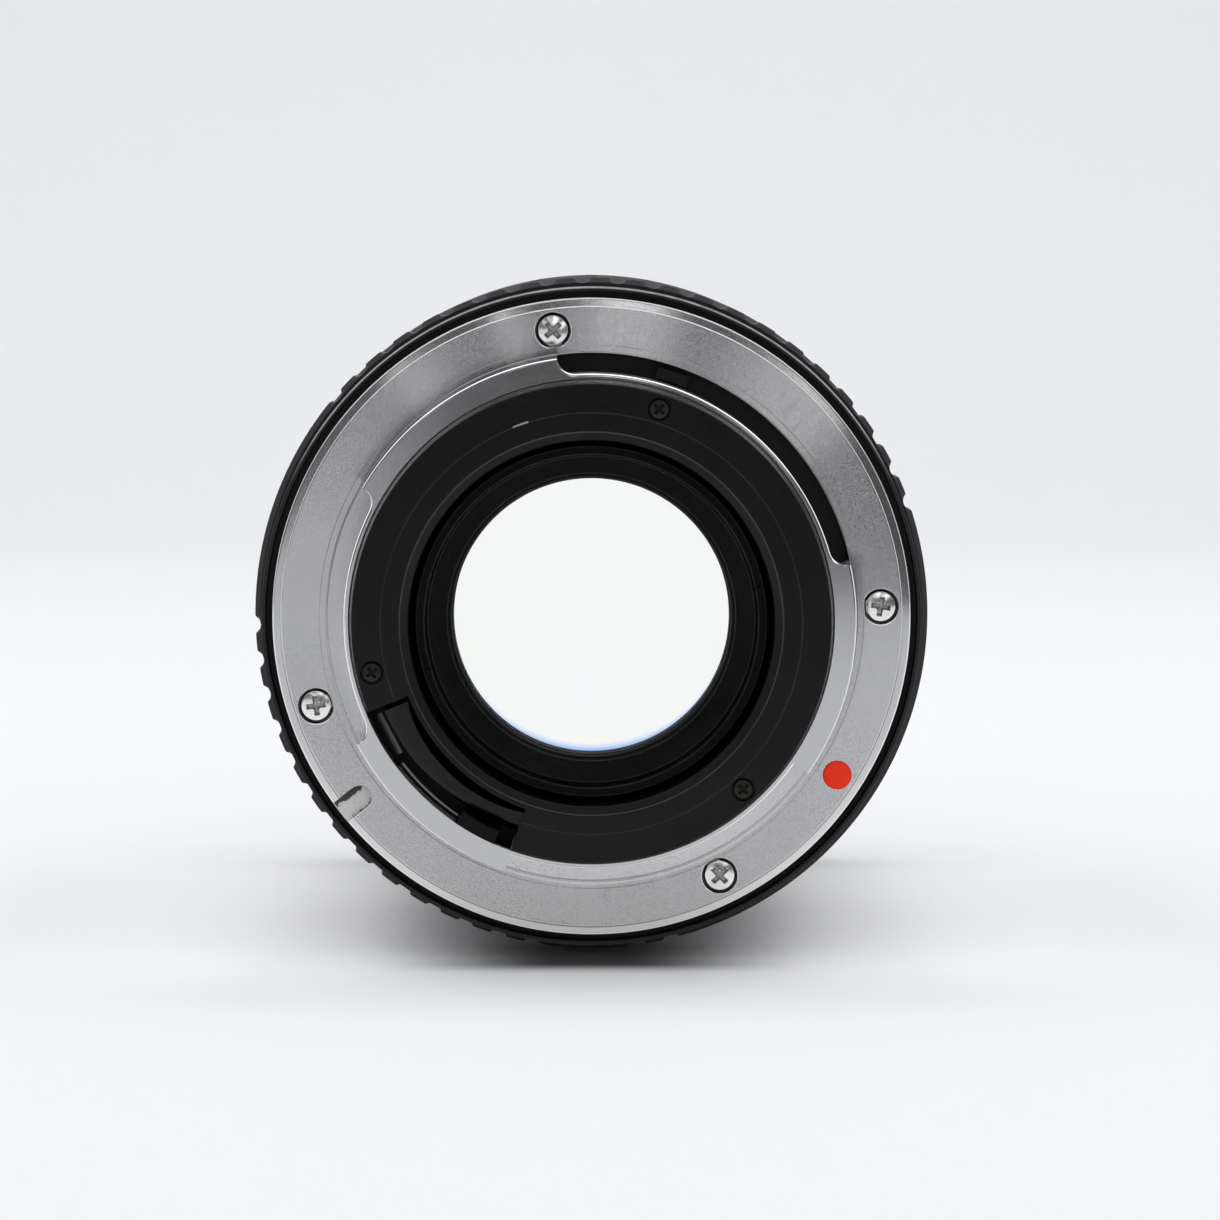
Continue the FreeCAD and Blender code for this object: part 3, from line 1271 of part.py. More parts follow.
def front_group():
    """The front barrel, the front cell with its three elements and rings, and the front bezel."""
    barrel = new_body("front_barrel")
    flange_front = dim.carrier_front + dim.front_flange_width
    seat_rear = dim.front_seat - dim.front_seat_width
    bezel_front = dim.front_cell_front + dim.bezel_width
    turned(barrel, [
        (carrier_bore, dim.carrier_front),
        (dim.front_barrel_radius, dim.carrier_front),
        (dim.front_barrel_radius, dim.front_barrel_front),
        (dim.filter_thread_radius, dim.front_barrel_front),
        (dim.filter_thread_radius, bezel_front),
        (dim.cell_seat_radius, bezel_front),
        (dim.cell_seat_radius, dim.front_seat),
        (dim.front_seat_radius, dim.front_seat),
        (dim.front_seat_radius, seat_rear),
        (dim.cell_seat_radius, seat_rear),
        (dim.cell_seat_radius, flange_front),
        (carrier_bore, flange_front),
    ])
    felt_floor = dim.front_barrel_radius - dim.felt_depth
    felt_front = dim.felt_position + dim.felt_width
    felt_top = dim.front_barrel_radius + OVERRUN
    felt_groove = rectangle(felt_floor, felt_top, dim.felt_position, felt_front)
    turned(barrel, felt_groove, cut=True)
    head_seat = flange_front - dim.carrier_head_height
    for angle in CARRIER_SCREW_ANGLES:
        at = (dim.carrier_screw_circle, angle)
        drill(barrel, *at, dim.carrier_head_radius, head_seat, flange_front)
        drill(barrel, *at, dim.carrier_shank_radius, dim.carrier_front, head_seat)
    screws = new_body("carrier_screws")
    head = (dim.carrier_head_radius, dim.carrier_head_height, dim.carrier_shank_radius)
    tip = dim.carrier_front - dim.carrier_screw_length
    for angle in CARRIER_SCREW_ANGLES:
        front_screw(screws, dim.carrier_screw_circle, angle, head, head_seat, tip)

    third_clear = dim.third_glass_radius - dim.seat_band
    second_clear = dim.second_glass_radius - dim.seat_band
    first_clear = dim.first_glass_radius - dim.seat_band
    cell = new_body("front_cell")
    shoulder_radius = dim.front_seat_radius - dim.end_gap * 2
    turned(cell, [
        (third_clear, dim.front_cell_rear),
        (shoulder_radius, dim.front_cell_rear),
        (shoulder_radius, dim.front_seat),
        (dim.cell_seat_radius, dim.front_seat),
        (dim.cell_seat_radius, dim.front_cell_front),
        (dim.first_glass_radius, dim.front_cell_front),
        (dim.first_glass_radius, dim.first_glass_back),
        (first_clear, dim.first_glass_back),
        (first_clear, dim.cell_step),
        (dim.second_glass_radius, dim.cell_step),
        (dim.second_glass_radius, dim.second_glass_back),
        (second_clear, dim.second_glass_back),
        (second_clear, dim.second_glass_back - dim.cell_web),
        (dim.third_glass_radius, dim.second_glass_back - dim.cell_web),
        (dim.third_glass_radius, dim.third_glass_back),
        (third_clear, dim.third_glass_back),
    ])
    glass("third_element", dim.third_glass_radius, third_clear, dim.third_glass_back,
          dim.third_glass_back_sag, dim.third_glass_front, dim.third_glass_front_sag)
    glass("second_element", dim.second_glass_radius, second_clear, dim.second_glass_back,
          dim.second_glass_back_sag, dim.second_glass_front, dim.second_glass_front_sag)
    glass("first_element", dim.first_glass_radius, first_clear, dim.first_glass_back,
          dim.first_glass_back_sag, dim.first_glass_front, dim.first_glass_front_sag)
    rings = (
        ("third_element_ring", third_clear, dim.third_glass_radius, dim.third_glass_front),
        ("second_element_ring", second_clear, dim.second_glass_radius, dim.second_glass_front),
        ("first_element_ring", first_clear, dim.first_glass_radius, dim.first_glass_front),
    )
    for label, inner, outer, rear in rings:
        ring = new_body(label)
        turned(ring, rectangle(inner, outer, rear, rear + dim.glass_ring_width))

    bezel = new_body("front_bezel")
    turned(bezel, [
        (dim.first_glass_radius, dim.front_cell_front),
        (dim.cell_seat_radius, dim.front_cell_front),
        (dim.cell_seat_radius, bezel_front),
        (dim.first_glass_radius + dim.bezel_bevel, bezel_front),
    ])

    felt = new_body("hood_felt")
    felt_outer = dim.front_barrel_radius + dim.felt_rise
    turned(felt, rectangle(felt_floor, felt_outer, dim.felt_position, felt_front))


def hood():
    """The sliding hood, stored back over the front barrel, with a raised rim at its front."""
    body = new_body("hood")
    wall_radius = hood_bore + dim.hood_wall
    turned(body, [
        (hood_bore, dim.hood_rear),
        (wall_radius, dim.hood_rear),
        (wall_radius, dim.hood_rim_rear),
        (dim.hood_rim_radius, dim.hood_rim_rear + dim.hood_rim_slope),
        (dim.hood_rim_radius, dim.hood_front),
        (hood_bore, dim.hood_front),
    ])


def build():
    """Model every sub-part."""
    bayonet_mount()
    mount_screws()
    index_dot()
    rear_baffle()
    baffle_screws()
    coupling_circlip()
    lever_retainer()
    rear_housing()
    click_ball()
    index_ring()
    fixed_barrel()
    guide_keys()
    focus_stop()
    aperture_ring()
    coupling_ring()
    stopdown_lever()
    focus_ring()
    carrier_tube()
    iris_housing()
    cam_ring()
    for number in range(BLADES):
        iris_blade(number)
    rear_group()
    front_group()
    hood()
    document.recompute()


def check_and_write():
    """Refuse any failed object or shape, then write one file for each sub-part."""
    for item in document.Objects:
        if {"Invalid", "Error"} & set(item.State):
            raise RuntimeError(f"{item.Name} failed: {item.State}")
    os.makedirs("parts", exist_ok=True)
    for part in sub_parts:
        shape = part.Shape
        if shape.isNull() or not shape.isValid():
            raise RuntimeError(f"{part.Label} has no valid shape")
    for part in sub_parts:
        part.Shape.exportStep(f"parts/{part.Label}.step")
        print(part.Label, len(part.Shape.Solids), round(part.Shape.Volume, 2))


build()
check_and_write()
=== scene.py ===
"""The looks of the telephoto lens, lying on its side and seen from its rear bayonet mount.

Sizes are in millimetres and become metres in the meshes. The optical axis is Y with the front of the
lens towards +Y. Angles are in degrees round that axis, from +X towards +Z, as the rear view shows them.
"""
import json
import math

import bpy
import numpy as np
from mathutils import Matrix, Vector


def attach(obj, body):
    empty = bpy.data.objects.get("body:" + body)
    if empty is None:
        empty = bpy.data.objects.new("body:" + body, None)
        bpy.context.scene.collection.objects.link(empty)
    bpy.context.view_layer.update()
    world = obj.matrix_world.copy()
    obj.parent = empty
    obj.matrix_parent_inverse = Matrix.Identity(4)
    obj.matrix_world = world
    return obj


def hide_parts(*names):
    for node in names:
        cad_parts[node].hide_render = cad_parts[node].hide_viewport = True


MM = 0.001
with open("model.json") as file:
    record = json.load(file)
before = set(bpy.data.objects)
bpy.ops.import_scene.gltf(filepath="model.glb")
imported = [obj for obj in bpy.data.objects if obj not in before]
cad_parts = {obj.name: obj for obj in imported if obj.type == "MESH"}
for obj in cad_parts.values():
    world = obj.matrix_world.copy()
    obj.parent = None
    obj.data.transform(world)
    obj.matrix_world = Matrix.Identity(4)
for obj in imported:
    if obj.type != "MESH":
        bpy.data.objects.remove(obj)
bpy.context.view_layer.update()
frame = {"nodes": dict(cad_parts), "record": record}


# Camera, floor and light

CAMERA_ELEVATION = 4.0
CAMERA_DISTANCE = 520.0
CAMERA_LENS = 156.5
SENSOR_WIDTH = 36.0
PHOTO_SIZE = 1220.0
FLANGE_SPOT = (591.4, 617.75)
FLOOR_HEIGHT = -33.35
GLINT_REACH = 480.0
GLINT_SLOPES = (10.0, 30.0)


def add_camera():
    """The photograph's camera: behind the mount, a little above the optical axis."""
    data = bpy.data.cameras.new("camera")
    data.lens = CAMERA_LENS
    data.sensor_width = SENSOR_WIDTH
    data.clip_start = 0.01
    data.clip_end = 30.0
    data.shift_x = (PHOTO_SIZE / 2 - FLANGE_SPOT[0]) / PHOTO_SIZE
    data.shift_y = (FLANGE_SPOT[1] - PHOTO_SIZE / 2) / PHOTO_SIZE
    camera = bpy.data.objects.new("camera", data)
    elevation = math.radians(CAMERA_ELEVATION)
    distance = CAMERA_DISTANCE * MM
    camera.location = (0, -distance * math.cos(elevation), distance * math.sin(elevation))
    camera.rotation_euler = (math.radians(90) - elevation, 0, 0)
    bpy.context.scene.collection.objects.link(camera)
    bpy.context.scene.camera = camera


def add_lamp(name, place, size, power):
    """A rectangular lamp that the camera doesn't see, with its place and size in millimetres."""
    data = bpy.data.lights.new(name, "AREA")
    data.shape = "RECTANGLE"
    data.size = size[0] * MM
    data.size_y = size[1] * MM
    data.energy = power
    lamp = bpy.data.objects.new(name, data)
    lamp.location = np.array(place) * MM
    lamp.visible_camera = False
    bpy.context.scene.collection.objects.link(lamp)
    return lamp


def add_soft_light(name, place, aim, size, power):
    """A soft lamp at a place, aimed at a point."""
    lamp = add_lamp(name, place, size, power)
    lamp.rotation_mode = "QUATERNION"
    lamp.rotation_quaternion = (Vector(aim) - Vector(place)).to_track_quat("-Z", "Y")


def add_glint(name, angle, width, power):
    """A strip lamp over the camera, along the line that the flange's marks throw towards it."""
    inner, outer = [GLINT_REACH * math.tan(math.radians(slope)) for slope in GLINT_SLOPES]
    middle = (inner + outer) / 2
    turn = math.radians(angle)
    place = (middle * math.cos(turn), -GLINT_REACH, middle * math.sin(turn))
    lamp = add_lamp(name, place, (width, outer - inner), power)
    lamp.rotation_euler = (math.radians(90), math.radians(90 - angle), 0)


# Shader maths


class Value:
    """A number that changes over a surface. Its operators add Math nodes to the material."""

    def __init__(self, paint, socket):
        self.paint = paint
        self.socket = socket

    def math(self, operation, *others):
        numbers = {0: self}
        numbers.update(enumerate(others, start=1))
        return self.paint.node("ShaderNodeMath", {"operation": operation}, numbers)

    def __add__(self, other):
        return self.math("ADD", other)

    __radd__ = __add__

    def __mul__(self, other):
        return self.math("MULTIPLY", other)

    __rmul__ = __mul__

    def __sub__(self, other):
        return self.math("SUBTRACT", other)

    def __rsub__(self, other):
        return (self * -1) + other

    def above(self, low, high):
        """0 below low, 1 above high and a smooth rise between them."""
        inputs = {"Value": self, "From Min": low, "From Max": high}
        return self.paint.node("ShaderNodeMapRange", {"interpolation_type": "SMOOTHSTEP"}, inputs)

    def below(self, low, high):
        return 1.0 - self.above(low, high)

    def within(self, low, rise, fall, high):
        """1 between rise and fall, 0 below low and above high."""
        return self.above(low, rise) * self.below(fall, high)

    def near(self, middle, half):
        """1 at middle, and 0 further than half away from it."""
        return (self - middle).math("ABSOLUTE").below(half * 0.5, half)

    def clamped(self):
        return self.math("MAXIMUM", 0.0).math("MINIMUM", 1.0)


class Paint:
    """A material under way: a way to add nodes, and the coordinates that its patterns use."""

    def __init__(self, name):
        self.material = bpy.data.materials.new(name)
        self.material.use_nodes = True
        self.tree = self.material.node_tree
        self.shader = self.tree.nodes["Principled BSDF"]
        self.place = self.node("ShaderNodeTexCoord", {}, {}, "Object")

    def node(self, kind, settings, inputs, output=0):
        """Add a node, set its settings, then fill or link its sockets. Gives one output as a Value."""
        node = self.tree.nodes.new(kind)
        for key, setting in settings.items():
            setattr(node, key, setting)
        for key, item in inputs.items():
            self.feed(node.inputs[key], item)
        return Value(self, node.outputs[output])

    def feed(self, socket, item):
        if isinstance(item, Value):
            self.tree.links.new(item.socket, socket)
        elif isinstance(item, (int, float)):
            socket.default_value = item
        elif len(item) == 3 and socket.type == "RGBA":
            socket.default_value = (*item, 1)
        else:
            socket.default_value = item

    def set(self, **inputs):
        """Fill the shader's own sockets: Base_Color stands for Base Color."""
        for key, item in inputs.items():
            self.feed(self.shader.inputs[key.replace("_", " ")], item)
        return self

    def vector(self, operation, *inputs, output=0):
        return self.node("ShaderNodeVectorMath", {"operation": operation}, dict(enumerate(inputs)), output)

    def mixed(self, share, first, second):
        """One colour where share is 0 and the other where it is 1."""
        settings = {"data_type": "RGBA"}
        return self.node("ShaderNodeMix", settings, {0: share, 6: first, 7: second}, 2)

    def noise(self, scale, detail=2.0, roughness=0.5, vector=None):
        inputs = {"Vector": vector or self.place, "Scale": scale, "Detail": detail, "Roughness": roughness}
        return self.node("ShaderNodeTexNoise", {}, inputs)

    def polar(self):
        """Distance from the optical axis in millimetres, and the unit vector from the axis."""
        flat = self.vector("MULTIPLY", self.place, (1000.0, 0.0, 1000.0))
        return self.vector("LENGTH", flat, output=1), self.vector("NORMALIZE", flat)

    def radius(self):
        return self.polar()[0]

    def axis(self, row):
        """Position along X, Y or Z, for row 0, 1 or 2, in millimetres."""
        return self.node("ShaderNodeSeparateXYZ", {}, {0: self.place}, row) * 1000.0

    def facing(self):
        """How far the surface faces along the optical axis: 1 on a flat face, 0 on a cylinder."""
        own = self.node("ShaderNodeTexCoord", {}, {}, "Normal")
        return self.node("ShaderNodeSeparateXYZ", {}, {0: own}, 1).math("ABSOLUTE")

    def bearing(self):
        """Angle round the optical axis in degrees, from -180 to 180."""
        return self.axis(2).math("ARCTAN2", self.axis(0)) * (180.0 / math.pi)

    def combined(self, x, y, z):
        return self.node("ShaderNodeCombineXYZ", {}, {0: x, 1: y, 2: z})

    def turning(self, fine, angular):
        """Coordinates in which noise is drawn out round the axis, as marks from a lathe are."""
        radius, away = self.polar()
        stretched = self.vector("MULTIPLY", away, (angular, 0.0, angular))
        across = self.combined(0.0, (radius + self.axis(1) * 1.37) * fine, 0.0)
        return self.vector("ADD", stretched, across)

    def lathe_normal(self, amount, fine, angular):
        """The surface normal, tipped across the lathe marks by noise, so that glints spread across them.

        Rounded edges, which don't face along the axis, keep their own normal and stay crisp.
        """
        normal = self.node("ShaderNodeNewGeometry", {}, {}, "Normal")
        round_axis = self.vector("CROSS_PRODUCT", self.polar()[1], (0.0, 1.0, 0.0))
        settings = {"vector_type": "VECTOR", "convert_from": "OBJECT", "convert_to": "WORLD"}
        round_axis = self.node("ShaderNodeVectorTransform", settings, {0: round_axis})
        across = self.vector("CROSS_PRODUCT", round_axis, normal)
        marks = self.noise(1.0, 1.0, vector=self.turning(fine, angular)) - 0.5
        tip = marks * (self.facing().above(0.90, 0.985) * amount)
        tipped = self.node("ShaderNodeVectorMath", {"operation": "SCALE"}, {0: across, "Scale": tip})
        return self.vector("NORMALIZE", self.vector("ADD", normal, tipped))

    def bump(self, height, strength, distance):
        inputs = {"Height": height, "Strength": strength, "Distance": distance * MM}
        return self.node("ShaderNodeBump", {}, inputs)


# Materials

NOTCH_ANGLE = 217.9
NOTCH_ACROSS = (-math.sin(math.radians(NOTCH_ANGLE)), 0.0, math.cos(math.radians(NOTCH_ANGLE)))


def mount_metal(name, tilt, pale=0.0):
    """Satin chrome, turned: fine ring marks and soft stains, with painted shade in the pockets and along the
    step.

    pale is how far the inner ring and the rim are painted brighter on the lower side, as painted light.
    """
    paint = Paint(name)
    fine = paint.noise(1.0, vector=paint.turning(12.0, 60.0))
    broad = paint.noise(160.0, 3.0)
    grain = paint.noise(3800.0, 2.0)
    shade = (fine - 0.5) * 0.20 + (broad - 0.5) * 0.25 + (grain - 0.5) * 0.10
    colour = paint.mixed((shade + 0.5).clamped(), (0.455, 0.455, 0.46), (0.585, 0.585, 0.59))
    radius = paint.radius()
    # Painted shade: deeper than the face, inside the pockets and seats, the metal is painted dark.
    pocket = paint.axis(1).above(0.18, 0.30) * radius.within(26.85, 26.90, 30.30, 30.36)
    height = paint.axis(2)
    # Painted shade: a dark line along the rim's step, on the lower side only.
    step = radius.near(30.52, 0.09) * height.below(-8.0, 4.0)
    steep = paint.facing()
    # Partly painted highlight: the roundings, which don't face along the axis, are painted near white, as
    # polished edges and to show as bright lines.
    edge = steep.below(0.85, 0.97) * (steep.above(0.03, 0.20) * 0.6 + 0.4)
    colour = paint.mixed(edge, colour, (0.90, 0.90, 0.91))
    # Painted light: on the lower side the inner ring and the rim are painted brighter, by the share pale.
    worn = (radius.below(26.2, 26.5) + radius.above(30.6, 30.7)) * height.below(-24.0, -8.0) * pale
    colour = paint.mixed(worn, colour, (0.90, 0.90, 0.91))
    colour = paint.mixed((pocket + step * 0.6).clamped(), colour, (0.06, 0.06, 0.06))
    rough = 0.10 + (broad - 0.5) * 0.05 + steep.below(0.03, 0.20) * 0.16
    paint.set(Base_Color=colour, Metallic=1.0, Roughness=rough)
    return paint.set(Normal=paint.lathe_normal(tilt, 60.0, 300.0)).material


def polished_steel(name, tone, roughness):
    """Bright steel of screws and pins, painted dark in the cross recess, which a mesh attribute marks:
    painted shade, with a rougher and less metallic finish there.
    """
    paint = Paint(name)
    grain = paint.noise(2600.0, 3.0)
    recess_shade = paint.node("ShaderNodeAttribute", {"attribute_name": "recess_shade"}, {}, "Fac")
    clean = paint.mixed(grain, [t * 0.82 for t in tone], [min(1.0, t * 1.12) for t in tone])
    colour = paint.mixed(recess_shade.clamped(), clean, [t * 0.10 for t in tone])
    rough = roughness + (grain - 0.5) * 0.16 + recess_shade * 0.25
    paint.set(Base_Color=colour, Metallic=1.0 - recess_shade * 0.4, Roughness=rough)
    return paint.set(Normal=paint.bump(grain, 0.25, 0.01)).material


def speckled(name, noise, tones, bump, shine):
    """Two tones mixed by one noise (scale, detail, roughness), which also makes the bumps.

    bump is their strength and size, and shine holds more of the shader's sockets.
    """
    paint = Paint(name)
    speck = paint.noise(*noise)
    paint.set(Base_Color=paint.mixed(speck, *tones), Normal=paint.bump(speck, *bump), **shine)
    return paint.material


def matt_black(name, tone, roughness, marks=0.16, worn=0.0, gloss=0.5, edges=(), scratch_and_highlight=None):
    """Black paint or anodising on a turned part: ring marks, faint dust and rubbed places.

    edges are (radius, strength) of rings painted pale as highlights, and the last argument is (radius, first
    angle, last angle) of a pale arc.
    """
    paint = Paint(name)
    lathe = paint.noise(1.0, vector=paint.turning(5.0, 4.0))
    dust = paint.noise(900.0, 4.0, 0.62)
    broad = paint.noise(120.0, 2.0)
    shade = (lathe - 0.5) * 0.7 + (dust - 0.5) * 0.5 + broad
    light = [t * 1.7 + 0.002 for t in tone]
    colour = paint.mixed(shade.clamped(), [t * 0.7 for t in tone], light)
    if worn:
        rubbed = paint.noise(420.0, 5.0, 0.7).above(0.62, 0.74) * worn
        colour = paint.mixed(rubbed, colour, [t * 3.5 + 0.01 for t in tone])
    radius = paint.radius()
    # Painted highlights: a pale ring at each radius of edges, where a rounded edge catches the light.
    for edge, strength in edges:
        painted_highlight_ring = radius.near(edge, 0.09) * (broad + 0.2) * strength
        colour = paint.mixed(painted_highlight_ring.clamped(), colour, (0.16, 0.155, 0.15))
    # A pale arc between two angles: a scratched line on the baffle, and a painted highlight along the top of
    # the aperture ring's lip.
    if scratch_and_highlight:
        spot, first, last = scratch_and_highlight
        turn = paint.bearing()
        fade = (last - first) * 0.12
        mark = turn.within(first, first + fade, last - fade, last) * radius.near(spot, 0.10)
        colour = paint.mixed(mark * (dust * 0.8 + 0.15), colour, (0.55, 0.55, 0.54))
    rough = roughness + (dust - 0.5) * 0.06 + (broad - 0.5) * 0.08
    paint.set(Base_Color=colour, Roughness=rough, Specular_IOR_Level=gloss)
    return paint.set(Normal=paint.lathe_normal(marks, 14.0, 7.0)).material


def coupling_black():
    """The coupling ring's black, with painted highlights: a pale bar along a chord and a pale line along its
    outer edge.
    """
    paint = Paint("coupling_black")
    x = paint.axis(0)
    z = paint.axis(2)
    across = x * 0.885 + z * 0.466
    along = x * 0.466 - z * 0.885
    # Painted highlight: a pale line along the outer edge, between two angles.
    rim = paint.radius().near(23.17, 0.13) * paint.bearing().within(-143.0, -142.4, -124.6, -124.0)
    # Painted highlight: a pale bar along a chord, between two points on it.
    painted_highlight_bar = across.within(-23.15, -22.5, -22.42, -22.28) * along.within(-1.65, -1.45, 2.85, 2.95)
    dust = paint.noise(1500.0, 3.0)
    dark = paint.mixed(dust, (0.001, 0.001, 0.001), (0.006, 0.006, 0.006))
    colour = paint.mixed(painted_highlight_bar * painted_highlight_bar, dark, (0.30, 0.285, 0.26))
    colour = paint.mixed(rim, colour, (0.62, 0.60, 0.57))
    paint.set(Base_Color=colour, Roughness=0.5, Specular_IOR_Level=0.12)
    return paint.set(Normal=paint.bump(dust, 0.2, 0.02)).material


def worn_paint():
    """The pale filling of the lock notch, with dark chips, and painted shade that gathers them along its
    walls, most along the upper one.
    """
    paint = Paint("notch_paint")
    stain = paint.noise(900.0, 5.0, 0.65)
    speck = paint.noise(2600.0, 3.0)
    side = paint.vector("DOT_PRODUCT", paint.place, NOTCH_ACROSS, output=1) * -1000.0
    # Painted shade: near the walls, and most on the upper side, dark patches are made more likely.
    edge = side.math("ABSOLUTE").above(0.45, 1.05) * 0.16 + side.above(0.0, 1.0) * 0.17
    dark = (stain + edge + (speck - 0.5) * 0.25).above(0.66, 0.72)
    pale = paint.mixed(speck, (0.56, 0.54, 0.51), (0.74, 0.72, 0.69))
    colour = paint.mixed(dark, pale, (0.05, 0.05, 0.045))
    return paint.set(Base_Color=colour, Roughness=0.7, Normal=paint.bump(stain, 0.5, 0.05)).material


def grip_rubber(name):
    """Moulded black rubber with a fine grain and greyish dust in its hollows."""
    paint = Paint(name)
    grain = paint.noise(4200.0, 3.0)
    dust = paint.noise(240.0, 4.0, 0.6)
    colour = paint.mixed(dust, (0.020, 0.020, 0.021), (0.055, 0.055, 0.056))
    paint.set(Base_Color=colour, Roughness=0.62 + dust * 0.25)
    return paint.set(Normal=paint.bump(grain, 0.35, 0.02)).material


def machined(name, tone, roughness):
    """Bare turned metal of the parts inside."""
    paint = Paint(name)
    marks = paint.noise(1.0, vector=paint.turning(7.0, 5.0))
    colour = paint.mixed(marks, [t * 0.75 for t in tone], tone)
    paint.set(Base_Color=colour, Metallic=1.0, Roughness=roughness + (marks - 0.5) * 0.12)
    return paint.set(Normal=paint.lathe_normal(0.2, 20.0, 8.0)).material


def coated_glass(name, rim=None, tint=(0.990, 0.996, 1.0), bloom=(0.06, 0.08, 0.16)):
    """Clear glass with a faint coating. Where rim is given, a painted blue fringe of coloured light lies
    between those two radii.
    """
    paint = Paint(name)
    haze = paint.noise(90.0, 3.0)
    colour = paint.mixed(haze * 0.3, tint, [t * 0.985 for t in tint])
    if rim:
        colour = paint.mixed(paint.radius().above(*rim), colour, (0.13, 0.38, 0.95))
    paint.set(Base_Color=colour, Roughness=0.0, IOR=1.5, Transmission_Weight=1.0)
    return paint.set(Specular_Tint=bloom).material


def engraved(name, tone):
    """Paint in the engraved figures and lines."""
    return speckled(name, (2400.0, 4.0), ([t * 0.7 for t in tone], tone), (0.2, 0.01), {"Roughness": 0.6})


materials = {}
for slot, make, settings in (
    ("mount_metal", mount_metal, (0.90, 0.45)),
    ("screw_steel", polished_steel, ((0.84, 0.83, 0.82), 0.15)),
    ("index_red", speckled, ((1300.0, 3.0), ((0.86, 0.026, 0.007), (0.98, 0.046, 0.011)), (0.2, 0.03),
                             {"Roughness": 0.55, "Specular_IOR_Level": 0.15})),
    # The pale rings of baffle_black and inner_black are painted highlights on rounded edges.
    ("baffle_black", matt_black, ((0.0014, 0.0017, 0.0020), 0.25, 0.10, 0.0, 0.19,
                                  ((18.52, 0.32), (20.37, 0.14), (23.16, 0.08)), (20.42, 107.0, 112.0))),
    ("black_screw", polished_steel, ((0.034, 0.033, 0.029), 0.40)),
    ("inner_black", matt_black, ((0.0008, 0.0009, 0.0011), 0.30, 0.12, 0.0, 0.07,
                                 ((16.24, 0.2), (17.0, 0.15)))),
    ("ring_black", matt_black, ((0.0048, 0.0048, 0.0052), 0.32, 0.12, 0.05, 0.32)),
    ("grip_rubber", grip_rubber, ()),
    ("brass", machined, ((0.62, 0.45, 0.19), 0.28)),
    ("spring_steel", machined, ((0.55, 0.55, 0.55), 0.22)),
    ("lever_steel", matt_black, ((0.004, 0.004, 0.004), 0.5, 0.1, 0.0, 0.2)),
    ("blade_steel", machined, ((0.07, 0.07, 0.075), 0.45)),
    ("coated_glass", coated_glass, ()),
    ("felt", speckled, ((5200.0, 4.0, 0.7), ((0.004, 0.004, 0.004), (0.022, 0.022, 0.022)), (0.7, 0.06),
                        {"Roughness": 0.95, "Sheen_Weight": 0.4})),
):
    materials[slot] = make(slot, *settings)
# The fourth element's blue ring is a painted fringe of coloured light.
painted_fringe_glass = coated_glass("painted_fringe_glass", rim=(11.35, 12.35))
notch_paint = worn_paint()
tube_metal = mount_metal("tube_metal", 0.20)
# The pale arc along the top of the lip is a painted highlight.
lipped_black = matt_black("lipped_black", (0.0052, 0.0052, 0.0056), 0.46, 0.12, 0.05, 0.28, (),
                          (32.32, 22.0, 158.0))
platform_black = matt_black("platform_black", (0.0030, 0.0032, 0.0036), 0.34, 0.1, 0.0, 0.26)
# The funnel's two pale rings are painted highlights at the edge that holds the glass.
funnel_black = matt_black("funnel_black", (0.0075, 0.0080, 0.0082), 0.50, 0.2, 0.0, 0.30,
                          ((13.75, 0.5), (14.15, 0.3)))
white_mark = engraved("white_mark", (0.75, 0.75, 0.73))
orange_mark = engraved("orange_mark", (0.78, 0.20, 0.03))


# Meshes

EDGE_HOLD = 0.03


def rounded(corners, radius, steps=3):
    """Give a closed outline with its corners rounded, each by a short curve between two near points.

    corners are (radius, position) or (radius, position, own rounding). Each rounding is the curve
    (1-t)^2 A + 2t(1-t) C + t^2 B through the corner C, with a point just outside it at each end, so
    that the flats beside it stay flat in shade.
    """
    points = np.array([corner[:2] for corner in corners], float)
    sizes = [corner[2] if len(corner) > 2 else radius for corner in corners]
    t = np.linspace(0, 1, steps + 1)[:, None]
    pieces = []
    for row, corner in enumerate(points):
        ways = [points[row - 1] - corner, points[(row + 1) % len(points)] - corner]
        lengths = [np.linalg.norm(way) for way in ways]
        reach = min(sizes[row], 0.46 * min(lengths))
        outer = reach + min(EDGE_HOLD, 0.03 * min(lengths))
        start, end, outer_start, outer_end = [corner + way / length * distance for distance in (reach, outer)
                                              for way, length in zip(ways, lengths)]
        curve = (1 - t) ** 2 * start + 2 * t * (1 - t) * corner + t ** 2 * end
        pieces.append(np.vstack([outer_start, curve, outer_end]))
    return np.vstack(pieces)


def direction(angle):
    """The unit vector (x, z) at an angle round the axis."""
    return np.array([math.cos(math.radians(angle)), math.sin(math.radians(angle))])


def placed(radius, position, angle):
    """Turn radius, position along the axis and angle in degrees into points."""
    turn = np.radians(angle)
    radius, position, turn = np.broadcast_arrays(radius, position, turn)
    return np.stack([radius * np.cos(turn), position, radius * np.sin(turn)], axis=-1)


def grid_faces(columns, rows, wrap_columns, wrap_rows):
    """The four-sided faces between neighbouring points of a grid, stored column by column."""
    index = np.arange(columns * rows).reshape(columns, rows)
    if wrap_columns:
        index = np.vstack([index, index[:1]])
    if wrap_rows:
        index = np.hstack([index, index[:, :1]])
    corners = (index[:-1, :-1], index[:-1, 1:], index[1:, 1:], index[1:, :-1])
    return np.stack([corner.ravel() for corner in corners], axis=1)


